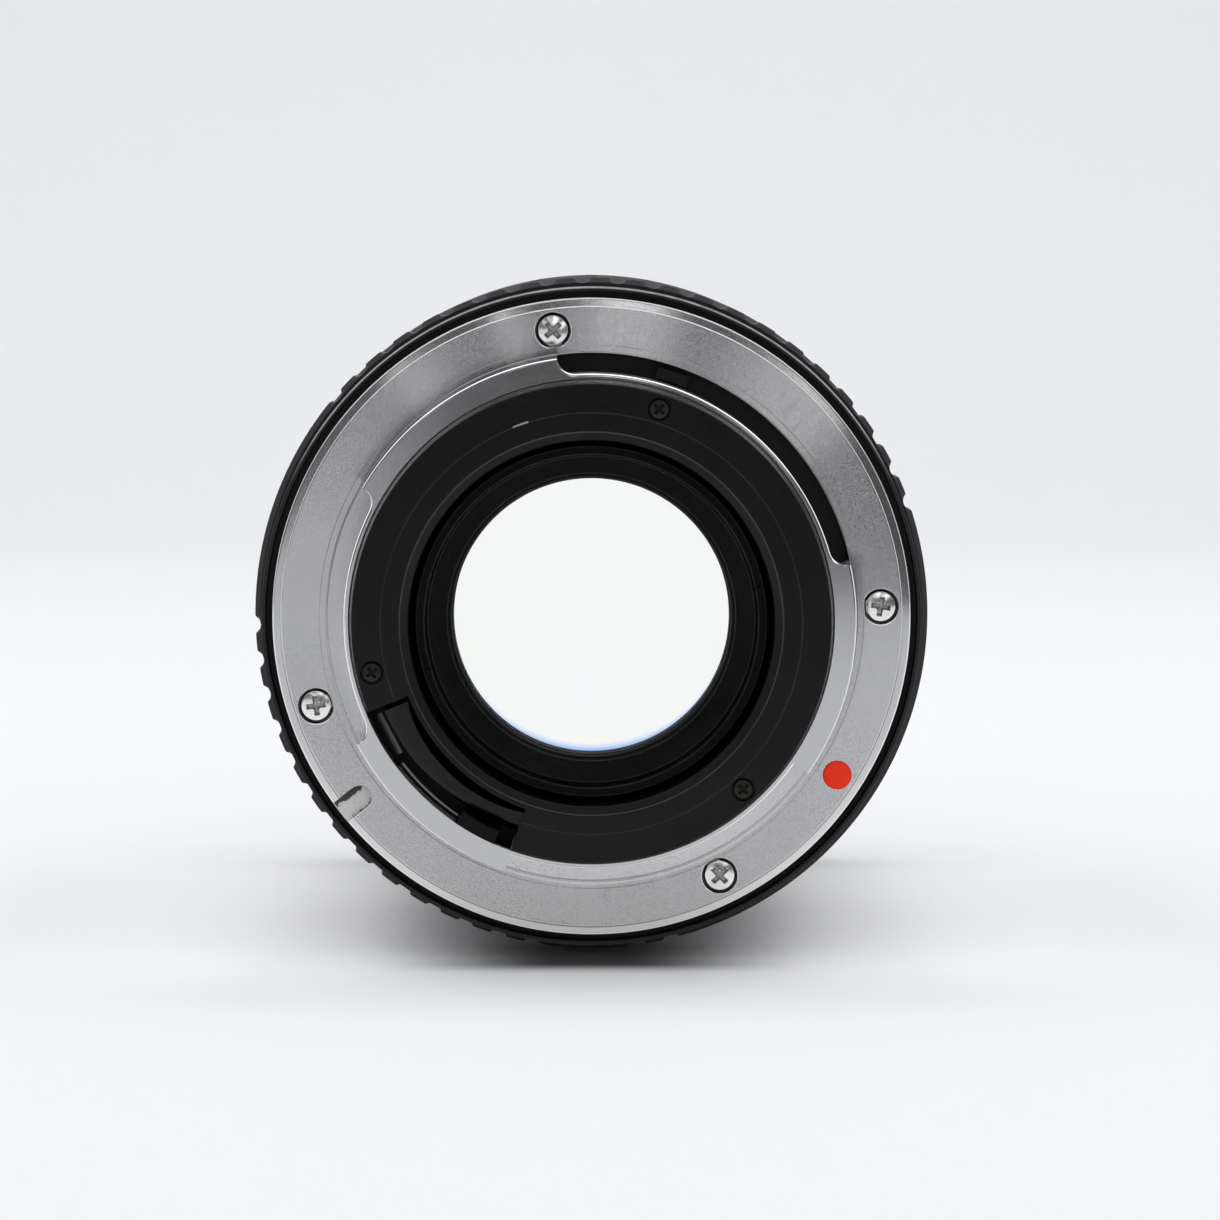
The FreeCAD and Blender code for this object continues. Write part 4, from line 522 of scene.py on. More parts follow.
def outward(points, faces):
    """Turn all the faces over if the closed shape that they make is inside out.

    faces mixes tables of faces and single faces, which count as tables of one row.
    """
    tables = [np.atleast_2d(face) for face in faces]
    volume = 0.0
    for table in tables:
        for k in range(1, table.shape[1] - 1):
            cross = np.cross(points[table[:, k]], points[table[:, k + 1]])
            volume += np.einsum("ij,ij->", points[table[:, 0]], cross)
    flat = [face for table in tables for face in table.tolist()]
    return flat if volume > 0 else [face[::-1] for face in flat]


def new_mesh(name, points, faces, sharp=35.0, smooth=True):
    """A mesh object at the origin from points in millimetres."""
    mesh = bpy.data.meshes.new(name)
    mesh.from_pydata((np.asarray(points, float) * MM).tolist(), [], faces)
    mesh.polygons.foreach_set("use_smooth", [smooth] * len(mesh.polygons))
    if smooth:
        mesh.set_sharp_from_angle(angle=math.radians(sharp))
    item = bpy.data.objects.new(name, mesh)
    bpy.context.scene.collection.objects.link(item)
    return item


def solid(name, points, faces, sharp=35.0, smooth=True):
    """A closed mesh with all its faces turned outwards."""
    return new_mesh(name, points, outward(points, faces), sharp, smooth)


def dress(item, body, slot, replaced=(), material=None):
    """Give a piece its material, its body and the nodes that it stands for."""
    item.data.materials.clear()
    item.data.materials.append(material or materials[slot])
    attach(item, body)
    if replaced:
        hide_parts(*replaced)
    return item


def shaped_ring(name, sections, angles):
    """A full turn of a closed section that changes with the angle.

    sections holds a (radius, position) row for each angle and each point of the section.
    """
    points = placed(sections[..., 0], sections[..., 1], angles[:, None]).reshape(-1, 3)
    return solid(name, points, [grid_faces(*sections.shape[:2], True, True)])


def ring(name, section):
    """A full turn of a closed section: (radius, position) rows, the same at every degree."""
    return shaped_ring(name, np.broadcast_to(section, (360, *section.shape)), np.arange(360.0))


def turned(name, body, slot, node, corners, rounding=0.05, steps=3, material=None):
    """A dressed ring with a rounded section that stands for one node."""
    dress(ring(name, rounded(corners, rounding, steps)), body, slot, [node], material)


def lofted(name, layers):
    """A closed piece from layers of the same outline, with a cap on the first and the last."""
    count, rows = layers.shape[:2]
    last = (count - 1) * rows
    caps = [list(range(rows))[::-1], list(range(last, last + rows))]
    return solid(name, layers.reshape(-1, 3), [grid_faces(count, rows, False, True)] + caps)


def arc_piece(name, section, start, end, columns):
    """Part of a turn of a closed section, closed at both ends."""
    angles = np.linspace(start, end, columns)
    return lofted(name, placed(section[None, :, 0], section[None, :, 1], angles[:, None]))


def stacked(name, outline, levels):
    """A closed piece from an outline that grows or shrinks with the position along the axis.

    outline(grow) gives (x, z) points of the outline widened by grow, and levels are (position, grow).
    """
    layers = []
    for position, grow in levels:
        flat = outline(grow)
        layers.append(np.column_stack([flat[:, 0], np.full(len(flat), position), flat[:, 1]]))
    return lofted(name, np.stack(layers))


def joined(name, items):
    """One object of several meshes, all at the origin."""
    with bpy.context.temp_override(active_object=items[0], selected_editable_objects=items):
        bpy.ops.object.join()
    items[0].name = name
    items[0].data.name = name
    return items[0]


def cut(item, cutters):
    """Cut pieces out of an item, keep its flats flat in shade, and store the result as its mesh."""
    tool = joined("cutters", cutters)
    boolean = item.modifiers.new("cut", "BOOLEAN")
    boolean.operation = "DIFFERENCE"
    boolean.solver = "EXACT"
    boolean.object = tool
    settle(item)
    bpy.data.objects.remove(tool)
    item.data.polygons.foreach_set("use_smooth", [True] * len(item.data.polygons))
    item.data.set_sharp_from_angle(angle=math.radians(35))
    weighted = item.modifiers.new("flats", "WEIGHTED_NORMAL")
    weighted.keep_sharp = True
    settle(item)
    return item


def settle(item):
    """Store what the modifiers make as the item's own mesh."""
    graph = bpy.context.evaluated_depsgraph_get()
    made = item.evaluated_get(graph)
    finished = bpy.data.meshes.new_from_object(made, preserve_all_data_layers=True, depsgraph=graph)
    item.modifiers.clear()
    item.data = finished


def circle(centre_radius, angle, radius):
    """An outline function: a circle at a distance from the axis."""
    unit = np.array([direction(turn) for turn in np.arange(0, 360, 7.5)])

    def outline(grow):
        return centre_radius * direction(angle) + (radius + grow) * unit
    return outline


def stepped_angles(spans):
    """Every whole degree, and two angles close together at each end of the spans, for steep steps."""
    ends = [end + side for span in spans for end in span for side in (-0.02, 0.02)]
    return np.unique(np.concatenate([np.arange(0, 360, 1.0), ends]))


# Bayonet mount

FLANGE_RADIUS = 31.4
TUBE_RADIUS = 24.07
TUBE_BORE = 23.5
FLOOR_RADIUS = 25.94
LUG_RADIUS = 25.72
LUG_BACK = -4.7
TUBE_END = -6.0
TUBE_ROOT = 2.4
LUGS = ((97.5, 149.6, True, True), (207.7, 250.8, True, False), (325.0, 372.4, False, True))
MOUNT_SCREWS = ((97.6, 42.0), (2.2, -10.0), (296.4, 45.0), (197.8, 8.0))
BOLT_CIRCLE = 28.4
POCKET_RADIUS = 1.75
DOT_PLACE = (28.7, 327.3)
NOTCH_WIDTH = 2.3
NOTCH_CENTRE = 28.85
NOTCH_DEPTH = 1.2
SLOT_ANGLES = (12.4, 97.5)
RECESS_START, RECESS_END = 201.5, 250.5
SCREW_COLUMNS = 144


def notch_outline(reach):
    """An outline function: the lock notch with its round inner end, open past the flange's edge."""
    turn = np.radians(np.linspace(90, 270, 17))
    along = direction(NOTCH_ANGLE)
    across = np.array([-along[1], along[0]])

    def outline(grow):
        half = NOTCH_WIDTH / 2 + grow
        x = np.concatenate([NOTCH_CENTRE + half * np.cos(turn), [reach, reach]])
        y = np.concatenate([half * np.sin(turn), [-half, half]])
        return x[:, None] * along + y[:, None] * across
    return outline


def mount_flange():
    """The flange: turned face with a rim step, a relief and a floor, and its pockets, slot and notch."""
    section = rounded([
        (TUBE_RADIUS, TUBE_ROOT), (TUBE_RADIUS, 0.6), (FLOOR_RADIUS, 0.6), (FLOOR_RADIUS, 0.2, 0.30),
        (26.7, 0.2), (26.7, 0.0, 0.05), (30.5, 0.0, 0.15), (30.5, 0.3), (FLANGE_RADIUS, 0.45, 0.28),
        (FLANGE_RADIUS, TUBE_ROOT),
    ], 0.05)
    mouth = ((-0.2, 0.30), (-0.001, 0.085), (0.05, 0.03), (0.12, 0.0))
    cutters = []
    for angle, cross in MOUNT_SCREWS:
        cutters.append(stacked("pocket", circle(BOLT_CIRCLE, angle, POCKET_RADIUS), mouth + ((1.1, 0.0),)))
    cutters.append(stacked("dot_seat", circle(*DOT_PLACE, 1.36), mouth[:3] + ((0.09, 0.0), (0.28, 0.0))))
    cutters.append(stacked("notch", notch_outline(33.0), mouth + ((NOTCH_DEPTH, 0.0),)))
    near, far = TUBE_RADIUS + 0.02, FLOOR_RADIUS - 0.02
    slot = rounded([(near, 0.3), (far, 0.3), (far, 3.0), (near, 3.0)], 0.02)
    cutters.append(arc_piece("slot", slot, *SLOT_ANGLES, 90))
    dress(cut(ring("mount_flange", section), cutters), "root", "mount_metal", ["bayonet_mount"])


def lug_reach(angles):
    """How far the tube's end stands out at each angle: 1 on a lug, 0 between lugs.

    A filleted end follows a quarter circle down to the tube, and a square end drops at once.
    """
    height = LUG_RADIUS - TUBE_RADIUS
    width = math.degrees(height / TUBE_RADIUS)
    reach = np.zeros_like(angles)
    for start, end, soft_start, soft_end in LUGS:
        for turn in (-360.0, 0.0, 360.0):
            before = (start + turn) - angles
            after = angles - (end + turn)
            reach = np.where((before <= 0) & (after <= 0), 1.0, reach)
            for gap, soft in ((before, soft_start), (after, soft_end)):
                run = np.clip(gap / width, 0, 1)
                fillet = 1.0 - np.sqrt(np.clip(1 - (1 - run) ** 2, 0, 1))
                near = (gap > 0) & (gap < width) & soft
                reach = np.where(near, np.maximum(reach, fillet), reach)
    return reach


def tube_wall(radius, end_rounding, back_rounding):
    """The tube's section where its end has the given radius."""
    return rounded([
        (TUBE_BORE, TUBE_ROOT), (TUBE_BORE, TUBE_END, 0.12), (radius, TUBE_END, end_rounding),
        (radius, LUG_BACK, back_rounding), (TUBE_RADIUS, 0.62), (TUBE_RADIUS, TUBE_ROOT),
    ], 0.05)


def mount_tube():
    """The bayonet's tube and lugs: the outer radius near the tube's end follows the lugs."""
    angles = [np.arange(0, 360, 0.75)]
    fine = 4.0 * np.linspace(0, 1, 20) ** 2
    for start, end, soft_start, soft_end in LUGS:
        angles += [np.array([start - 0.02, start, end, end + 0.02]), start - fine, end + fine]
    angles = np.unique(np.round(np.concatenate(angles) % 360, 4))
    plain = tube_wall(TUBE_RADIUS, 0.26, 0.03)
    lugged = tube_wall(LUG_RADIUS, 0.20, 0.10)
    rows = len(plain) // 6
    lugged[rows * 4:] = plain[rows * 4:]
    lugged[rows * 3 + rows // 2:rows * 4, 1] = LUG_BACK
    lugged[rows * 4 - 1] = (TUBE_RADIUS + 0.01, LUG_BACK + 0.01)
    share = lug_reach(angles)[:, None, None]
    tube = shaped_ring("mount_tube", plain * (1 - share) + lugged * share, angles)
    dress(tube, "root", "mount_metal", ["bayonet_mount"], tube_metal)
    section = rounded([(20.6, -4.5), (23.55, -4.5), (23.55, -3.0), (20.6, -3.0)], 0.05)
    shelf = arc_piece("mount_shelf", section, RECESS_END, RECESS_START + 360.0, 240)
    dress(shelf, "root", "mount_metal", ["bayonet_mount"])


def screw_set(name, node, slot, circle_radius, spots, head, top, tip):
    """Pan-head screws with a cross recess, as a height over (share of head radius, angle) for each head.

    The height is a shallow dome that falls off at its rim, less the recess where the point lies within
    either arm of the cross: sloped walls make the arm narrower as it gets deeper. head is the head's
    radius, its height and the shank's radius, and spots are the angles of the screws and their crosses.
    """
    radius, height, shank = head
    shares = np.concatenate([np.linspace(0.0, 0.72, 30)[1:], np.linspace(0.72, 1.0, 12)[1:]])
    turn = np.radians(np.arange(SCREW_COLUMNS) * 360.0 / SCREW_COLUMNS)[:, None]
    x = shares * radius * np.cos(turn)
    z = shares * radius * np.sin(turn)
    rim = np.clip((shares - 0.86) / 0.14, 0, 1)
    dome = height * (1.0 - 0.16 * shares ** 2 - 0.62 * (1 - np.sqrt(np.clip(1 - rim ** 2, 0, 1))))
    arm = radius * 0.60
    half = radius * 0.155
    lengthwise = np.maximum(np.abs(x), np.abs(z))
    sideways = np.minimum(np.abs(x), np.abs(z))
    inside = np.minimum((half - sideways) / (half * 0.35), (arm - lengthwise) / (half * 0.9))
    depth = np.clip(inside, 0, 1) * height * 0.62
    depth = depth + np.clip(1 - np.hypot(x, z) / (half * 1.9), 0, 1) * height * 0.12
    base = top + height
    below = ((radius, base), (shank, base), (shank, tip))
    x = np.hstack([x] + [size * np.cos(turn) for size, position in below])
    z = np.hstack([z] + [size * np.sin(turn) for size, position in below])
    y = np.hstack([base - (dome - depth)] + [np.full_like(turn, position) for size, position in below])
    rows = x.shape[1]
    hub = np.arange(SCREW_COLUMNS) * rows
    fan = np.column_stack([np.full(SCREW_COLUMNS, x.size), hub, np.roll(hub, -1)])
    faces = [grid_faces(SCREW_COLUMNS, rows, True, False), fan, (hub + rows - 1).tolist()[::-1]]
    # Painted shade: the points in the cross recess, and the hub point at its bottom, are marked to be painted
    # dark.
    recess_shade = np.zeros_like(x)
    recess_shade[:, :len(shares)] = np.clip(inside * 1.3, 0, 1) * 0.62
    recess_shade = np.append(recess_shade, 0.62)
    heads = []
    for angle, cross in spots:
        spot_x, spot_z = circle_radius * direction(angle)
        cos, sin = direction(cross)
        points = np.stack([spot_x + x * cos - z * sin, y, spot_z + x * sin + z * cos], axis=-1)
        points = np.vstack([points.reshape(-1, 3), [spot_x, top + height * 0.74, spot_z]])
        item = solid("screw", points, faces, 32)
        item.data.attributes.new("recess_shade", "FLOAT", "POINT").data.foreach_set("value", recess_shade)
        heads.append(item)
    dress(joined(name, heads), "root", slot, [node])


def index_dot():
    """The enamel dot: a low dome in its seat."""
    levels = ((0.29, 0.0), (0.06, 0.0), (0.02, -0.03), (0.0, -0.12), (0.0, -0.6))
    dot = stacked("index_dot_enamel", circle(*DOT_PLACE, 1.35), levels)
    dress(dot, "root", "index_red", ["index_dot"])


def notch_floor():
    """Pale worn paint on the notch's floor, a thin sheet whose dark patches gather along the edges as painted
    shade.
    """
    inner = notch_outline(FLANGE_RADIUS - 0.15)
    sheet = stacked("notch_paint_fill", inner, ((NOTCH_DEPTH + 0.02, -0.02), (NOTCH_DEPTH - 0.45, -0.02)))
    dress(sheet, "root", "index_red", (), notch_paint)


mount_flange()
mount_tube()
index_dot()
notch_floor()
screw_set("mount_screw_heads", "mount_screws", "screw_steel", BOLT_CIRCLE, MOUNT_SCREWS, (1.6, 1.0, 0.95),
          0.1, 7.4)


# Baffle and rear cell

BAFFLE_SCREWS = ((72.5, 45.0), (192.5, 35.0), (312.5, 45.0))
BAFFLE_CIRCLE = 21.7
SPANNER_NOTCHES = (14.0, 194.0)
SPANNER_HALF_WIDTH = 0.75
SPANNER_MIDDLE = 16.65
RECESS_EDGE = 19.0


def rear_baffle():
    """The light baffle: its outer part is missing between the recess's two angles."""
    angles = stepped_angles([(RECESS_START, RECESS_END)])
    full = rounded([
        (18.56, -9.0, 0.10), (20.35, -9.0, 0.02), (20.4, -8.92, 0.02), (23.2, -8.92, 0.14), (23.2, -4.5),
        (22.5, -4.5), (22.5, -8.2), (18.33, -8.2), (18.33, -5.0), (17.63, -5.0), (17.63, -8.3, 0.2),
    ], 0.04)
    short = full.copy()
    beyond = short[:, 0] > RECESS_EDGE
    short[beyond, 0] = RECESS_EDGE
    short[beyond & (short[:, 1] > -8.25), 1] = -8.2
    inside = ((angles > RECESS_START) & (angles < RECESS_END))[:, None, None]
    baffle = shaped_ring("baffle_plate", np.where(inside, short, full), angles)
    levels = ((-9.3, 0.2), (-8.925, 0.03), (-8.88, 0.0), (-8.25, 0.0))
    outlines = [circle(BAFFLE_CIRCLE, angle, 1.13) for angle, cross in BAFFLE_SCREWS]
    cut(baffle, [stacked("pocket", outline, levels) for outline in outlines])
    dress(baffle, "root", "baffle_black", ["rear_baffle"])


def recess_platform():
    """The low platform in the recess. Its inner edge bows away from the axis and its outer edge draws in."""
    angles = np.linspace(203.0, 252.5, 80)
    share = (angles - angles[0]) / (angles[-1] - angles[0])
    inner = (19.1 + 0.85 * np.sqrt(np.sin(math.pi * share)))[:, None]
    outer = (21.7 - 0.85 * np.clip((angles - 216.0) / 28.0, 0, 1) ** 1.3)[:, None]
    section = rounded([(0.0, 0.0, 0.05), (0.0, 1.0, 0.05), (1.0, 1.0, 0.3), (1.0, 0.0, 0.05)], 0.05)
    radius = inner + (outer - inner) * section[None, :, 0]
    platform = lofted("baffle_platform", placed(radius, -7.4 - 0.8 * section[:, 1], angles[:, None]))
    dress(platform, "root", "baffle_black", ["rear_baffle"], platform_black)


def spanner_ring():
    """The rear cell's ring, with a square notch at each side for a spanner."""
    section = rounded([
        (16.2, -5.4, 0.10), (17.1, -5.4, 0.16), (17.1, -4.2), (16.6, -4.2), (16.6, -2.4), (16.0, -2.4),
    ], 0.04)
    half = math.degrees(SPANNER_HALF_WIDTH / SPANNER_MIDDLE)
    notches = [(angle - half, angle + half) for angle in SPANNER_NOTCHES]
    angles = stepped_angles(notches)
    sections = np.tile(section, (len(angles), 1, 1))
    for low, high in notches:
        sunk = (angles > low) & (angles < high)
        sections[sunk, :, 1] = np.maximum(sections[sunk, :, 1], -4.6)
    dress(shaped_ring("spanner_ring", sections, angles), "lens_unit", "inner_black", ["rear_spanner_ring"])


def light_funnel():
    """The cone behind the rear glass: two shallow steps, then fine ridges near the glass."""
    share = np.array([0.0, 0.35, 0.37, 0.72, 0.76, 0.80, 0.93, 0.96, 1.0])
    step = np.array([0.0, 0.0, 0.03, 0.03, -0.04, 0.03, 0.03, -0.05, 0.0])
    cone = [(15.9 - 2.3 * s, -2.4 + 4.4 * s + rise, 0.03) for s, rise in zip(share, step)]
    corners = cone + [(13.6, 5.3), (14.5, 5.3), (14.5, 2.0), (16.2, 2.0), (16.2, -2.4)]
    turned("funnel_cone", "lens_unit", "inner_black", "light_funnel", corners, 0.04, 2, funnel_black)


def lens_element(name, node, outer, clear, back, back_sag, front, front_sag, material=None):
    """A glass element: a spherical cap on each side, inside a flat seat band.

    Each cap is the exact sphere through its rim and its middle, so its depth at r is
    sqrt(R^2 - r^2) - sqrt(R^2 - clear^2), with R from the sag.
    """
    share = np.sin(np.linspace(0, math.pi / 2, 40))

    def cap(rim, sag):
        ball = (clear ** 2 + sag ** 2) / (2 * abs(sag))
        r = share * clear
        rise = np.sqrt(ball ** 2 - r ** 2) - math.sqrt(ball ** 2 - clear ** 2)
        return np.column_stack([r, rim + math.copysign(1, sag) * rise])
    back_cap = cap(back, back_sag)
    front_cap = cap(front, front_sag)
    band = [(clear + 0.05, back), (outer - 0.06, back), (outer, back + 0.06), (outer, front - 0.06),
            (outer - 0.06, front), (clear + 0.05, front)]
    section = np.vstack([back_cap[1:], band, front_cap[:0:-1]])
    columns = 180
    angles = np.arange(columns) * 360.0 / columns
    points = placed(section[None, :, 0], section[None, :, 1], angles[:, None]).reshape(-1, 3)
    rows = len(section)
    first = np.arange(columns) * rows
    last = first + rows - 1
    count = len(points)
    fans = [np.column_stack([np.full(columns, count), first, np.roll(first, -1)]),
            np.column_stack([np.full(columns, count + 1), np.roll(last, -1), last])]
    points = np.vstack([points, (0, back_cap[0, 1], 0), (0, front_cap[0, 1], 0)])
    item = solid(name, points, [grid_faces(columns, rows, True, False)] + fans, 20)
    dress(item, "lens_unit", "coated_glass", [node], material)


rear_baffle()
recess_platform()
screw_set("baffle_screw_heads", "baffle_screws", "black_screw", BAFFLE_CIRCLE, BAFFLE_SCREWS, (1.0, 0.5, 0.6),
          -8.86, -3.0)
spanner_ring()
light_funnel()
lens_element("rear_glass", "rear_element", 14.5, 13.6, 5.3, -1.3, 10.7, 1.7)
lens_element("fourth_glass", "fourth_element", 15.3, 14.5, 21.5, 1.3, 24.8, 2.2, painted_fringe_glass)
lens_element("third_glass", "third_element", 19.5, 18.7, 49.4, 6.1, 55.6, 1.9)
lens_element("second_glass", "second_element", 22.5, 21.7, 58.8, 3.2, 61.5, 6.0)
lens_element("first_glass", "first_element", 24.8, 24.0, 67.9, 1.5, 70.6, 5.9)


# Aperture ring, index ring and focusing ring

GRIP_RADIUS = 33.3
VALLEYS = np.concatenate([19.5 + 6.0 * np.arange(21), 181.8 + 6.0 * np.arange(18)])
VALLEY_RADIUS = 0.89
VALLEY_CENTRE = GRIP_RADIUS - 0.55 + VALLEY_RADIUS
INDEX_RADIUS = 32.4
SCALE_RADIUS = 32.0
GRIP_BLOCKS = 36
BLOCK_ROWS = 11
GROOVE_WIDTH = 0.55
RUBBER_RADIUS = 33.3
SEAT_RADIUS = 31.5
GRIP_START, GRIP_END = 20.6, 47.4


def from_valley(angles):
    """The angle from each given angle to the nearest valley's middle."""
    return np.abs((angles[:, None] - VALLEYS[None] + 180) % 360 - 180).min(axis=1)


def aperture_ring():
    """The ring with scalloped ribs: its radius dips by a round hollow at each valley."""
    half = math.degrees(math.sqrt(VALLEY_RADIUS ** 2 - (VALLEY_CENTRE - GRIP_RADIUS) ** 2) / GRIP_RADIUS)
    across = half * np.array([-1.14, -1.0, -0.9, -0.7, -0.45, -0.2, 0.0, 0.2, 0.45, 0.7, 0.9, 1.0, 1.14])
    coarse = np.arange(0, 360, 1.0)
    coarse = coarse[from_valley(coarse) > half * 1.25]
    angles = np.concatenate([(VALLEYS[:, None] + across[None]).ravel() % 360, coarse])
    angles = np.unique(np.round(angles, 4))
    offset = from_valley(angles)
    side = VALLEY_CENTRE * np.sin(np.radians(offset))
    hollow = VALLEY_CENTRE * np.cos(np.radians(offset))
    hollow = hollow - np.sqrt(np.clip(VALLEY_RADIUS ** 2 - side ** 2, 0, None))
    limit = np.where(offset < half * 1.001, np.minimum(hollow, GRIP_RADIUS), GRIP_RADIUS)
    limit = np.where(np.abs(offset - half) < half * 0.01, GRIP_RADIUS - 0.05, limit)
    section = rounded([
        (30.3, 2.6), (32.0, 2.6), (32.0, 0.5, 0.08), (32.4, 0.5, 0.16), (32.4, 5.0, 0.15),
        (32.75, 5.0, 0.08), (GRIP_RADIUS, 5.5, 0.04), (GRIP_RADIUS, 9.6, 0.16), (30.3, 9.6),
    ], 0.05)
    sections = np.tile(section, (len(angles), 1, 1))
    sections[..., 0] = np.minimum(sections[..., 0], limit[:, None])
    item = shaped_ring("aperture_grip", sections, angles)
    dress(item, "aperture_ring", "ring_black", ["aperture_ring"], lipped_black)


def index_and_sleeve():
    """The fixed index ring and the focusing sleeve with its scale, grip seat and front rim."""
    turned("index_band", "root", "ring_black", "index_ring", [
        (30.2, 9.9), (INDEX_RADIUS, 9.9, 0.15), (INDEX_RADIUS, 15.0, 0.15), (30.2, 15.0),
    ])
    turned("focus_band", "focus_ring", "ring_black", "focus_sleeve", [
        (30.3, 15.3), (SCALE_RADIUS, 15.3, 0.15), (SCALE_RADIUS, 20.55, 0.1), (SEAT_RADIUS, GRIP_START),
        (SEAT_RADIUS, GRIP_END), (32.3, GRIP_END, 0.1), (32.3, 50.0, 0.2), (30.3, 50.0),
    ])


def focus_grip():
    """The rubber grip: raised blocks in rows, as the lower of two rounded square waves over its radius.

    The wave round the axis is low in each lengthwise groove, and the wave along it in each cross groove.
    """
    pitch = 360.0 / GRIP_BLOCKS
    groove = math.degrees(GROOVE_WIDTH / RUBBER_RADIUS)
    local = np.array([-1.35, -1.05, -0.95, -0.75, 0.75, 0.95, 1.05, 1.35]) * groove
    fill = np.linspace(1.35 * groove, pitch - 1.35 * groove, 6)[1:-1]
    angles = (np.arange(GRIP_BLOCKS)[:, None] * pitch + np.concatenate([local, fill])[None]).ravel()
    angles = np.sort(angles % 360)
    offset = np.abs((angles + pitch / 2) % pitch - pitch / 2)
    round_wave = np.clip((offset / groove - 0.75) / 0.45, 0, 1)[:, None]
    start, end = GRIP_START + 1.1, GRIP_END - 1.1
    step = (end - start) / BLOCK_ROWS
    cell = np.array([0.0, 0.16, 0.2, 0.26, 0.74, 0.8, 0.84])
    position = (start + (np.arange(BLOCK_ROWS)[:, None] + cell[None]) * step).ravel()
    wave_along = np.tile([0.0, 0.0, 0.7, 1.0, 1.0, 0.7, 0.0], BLOCK_ROWS)
    field = RUBBER_RADIUS - np.maximum(0.6 * (1 - round_wave), 0.34 * (1 - wave_along[None]))
    rear = [(SEAT_RADIUS, GRIP_START), (32.3, GRIP_START), (RUBBER_RADIUS - 0.03, start - 0.2),
            (RUBBER_RADIUS, start - 0.1)]
    front = [(RUBBER_RADIUS, end + 0.1), (RUBBER_RADIUS, GRIP_END - 0.15), (RUBBER_RADIUS - 0.15, GRIP_END),
             (SEAT_RADIUS, GRIP_END)]
    blocks = np.stack([field, np.broadcast_to(position, field.shape)], axis=-1)
    rims = [np.tile(rim, (len(angles), 1, 1)) for rim in (rear, front)]
    item = shaped_ring("focus_grip_rubber", np.hstack([rims[0], blocks, rims[1]]), angles)
    dress(item, "focus_ring", "grip_rubber", ["focus_grip"])


def front_end():
    """The front barrel with its filter thread, the bezel round the front glass, the hood and its felt."""
    thread = []
    for turn in range(5):
        start = 80.4 + turn * 0.72
        thread += [(27.5, start, 0.05), (27.75, start + 0.36, 0.05)]
    barrel = [(25.3, 46.0), (29.8, 46.0), (29.8, 76.0), (29.3, 76.0), (29.3, 80.0), (29.8, 80.0)]
    barrel += [(29.8, 84.0, 0.15), (27.5, 84.0, 0.12)] + thread[::-1]
    barrel += [(27.0, 80.2), (27.0, 58.0), (25.4, 58.0), (25.4, 56.5)]
    barrel += [(27.0, 56.5), (27.0, 48.0), (25.3, 48.0)]
    turned("front_barrel_tube", "lens_unit", "ring_black", "front_barrel", barrel, 0.05, 2)
    bezel = [(24.8, 79.0), (27.0, 79.0), (27.0, 80.2), (25.5, 80.2, 0.08)]
    turned("front_bezel_ring", "lens_unit", "ring_black", "front_bezel", bezel, 0.04)
    felt = [(29.3, 76.0), (29.85, 76.0, 0.12), (29.85, 80.0, 0.12), (29.3, 80.0)]
    turned("felt_band", "lens_unit", "felt", "hood_felt", felt, 0.04)
    turned("hood_shell", "hood", "ring_black", "hood", [
        (29.9, 52.0), (31.0, 52.0, 0.15), (31.0, 80.0, 0.3), (32.2, 81.0, 0.25), (32.2, 83.0, 0.05),
        (31.95, 83.15, 0.05), (31.95, 83.65, 0.05), (32.2, 83.8, 0.05), (32.2, 86.0, 0.35),
        (29.9, 86.0, 0.25),
    ])


aperture_ring()
index_and_sleeve()
focus_grip()
front_end()


# Figures and lines on the rings

INDEX_ANGLE = 314.5
STOP_STEP = 34.0 / 7
FOCAL_LENGTH = 135.0
FOCUS_TRAVEL = 13.4
FOCUS_TURN = 270.0
BLUR_CIRCLE = 0.033
METRES_PER_FOOT = 0.3048
MARK_RISE = 0.012
MARK_DEPTH = 0.03
LOOP_POINTS = 36
LOOP_OFFSET = 0.62
LOOP_RADII = (0.52, 0.36)
LOOP_HEIGHT = 0.8


def raised(name, flat, faces, centre_angle, radius, position):
    """A closed mark from a flat shape, let into a ring and a little proud of it.

    The shape's u runs against the angle and its v along the axis. An edge that only one face has gets a wall.
    """
    angles = centre_angle - np.degrees(flat[:, 0] / radius)
    layers = [placed(radius + rise, position + flat[:, 1], angles) for rise in (MARK_RISE, -MARK_DEPTH)]
    count = len(flat)
    edges = {pair for face in faces for pair in zip(face, face[1:] + face[:1])}
    walls = [[b, a, a + count, b + count] for a, b in sorted(edges) if (b, a) not in edges]
    back = [[corner + count for corner in face[::-1]] for face in faces]
    points = np.vstack(layers)
    return solid(name, points, faces + back + walls, smooth=False)


def figure(text, height, centre_angle, radius, position):
    """Figures on a ring, that read from the rear."""
    curve = bpy.data.curves.new("figure", "FONT")
    curve.body = text
    curve.size = height
    curve.align_x = "CENTER"
    curve.align_y = "CENTER"
    source = bpy.data.objects.new("figure", curve)
    bpy.context.scene.collection.objects.link(source)
    graph = bpy.context.evaluated_depsgraph_get()
    flat = bpy.data.meshes.new_from_object(source.evaluated_get(graph))
    points = np.zeros(len(flat.vertices) * 3)
    flat.vertices.foreach_get("co", points)
    faces = [list(face.vertices) for face in flat.polygons]
    bpy.data.objects.remove(source)
    return raised("figure", points.reshape(-1, 3)[:, :2], faces, centre_angle, radius, position)


def line_mark(centre_angle, width, rear, front, radius):
    """A short painted line along the axis."""
    corners = np.array([(u, v) for u in (-width / 2, 0.0, width / 2) for v in (rear, front)])
    faces = [[0, 2, 3, 1], [2, 4, 5, 3]]
    return raised("line", corners, faces, centre_angle, radius, 0.0)


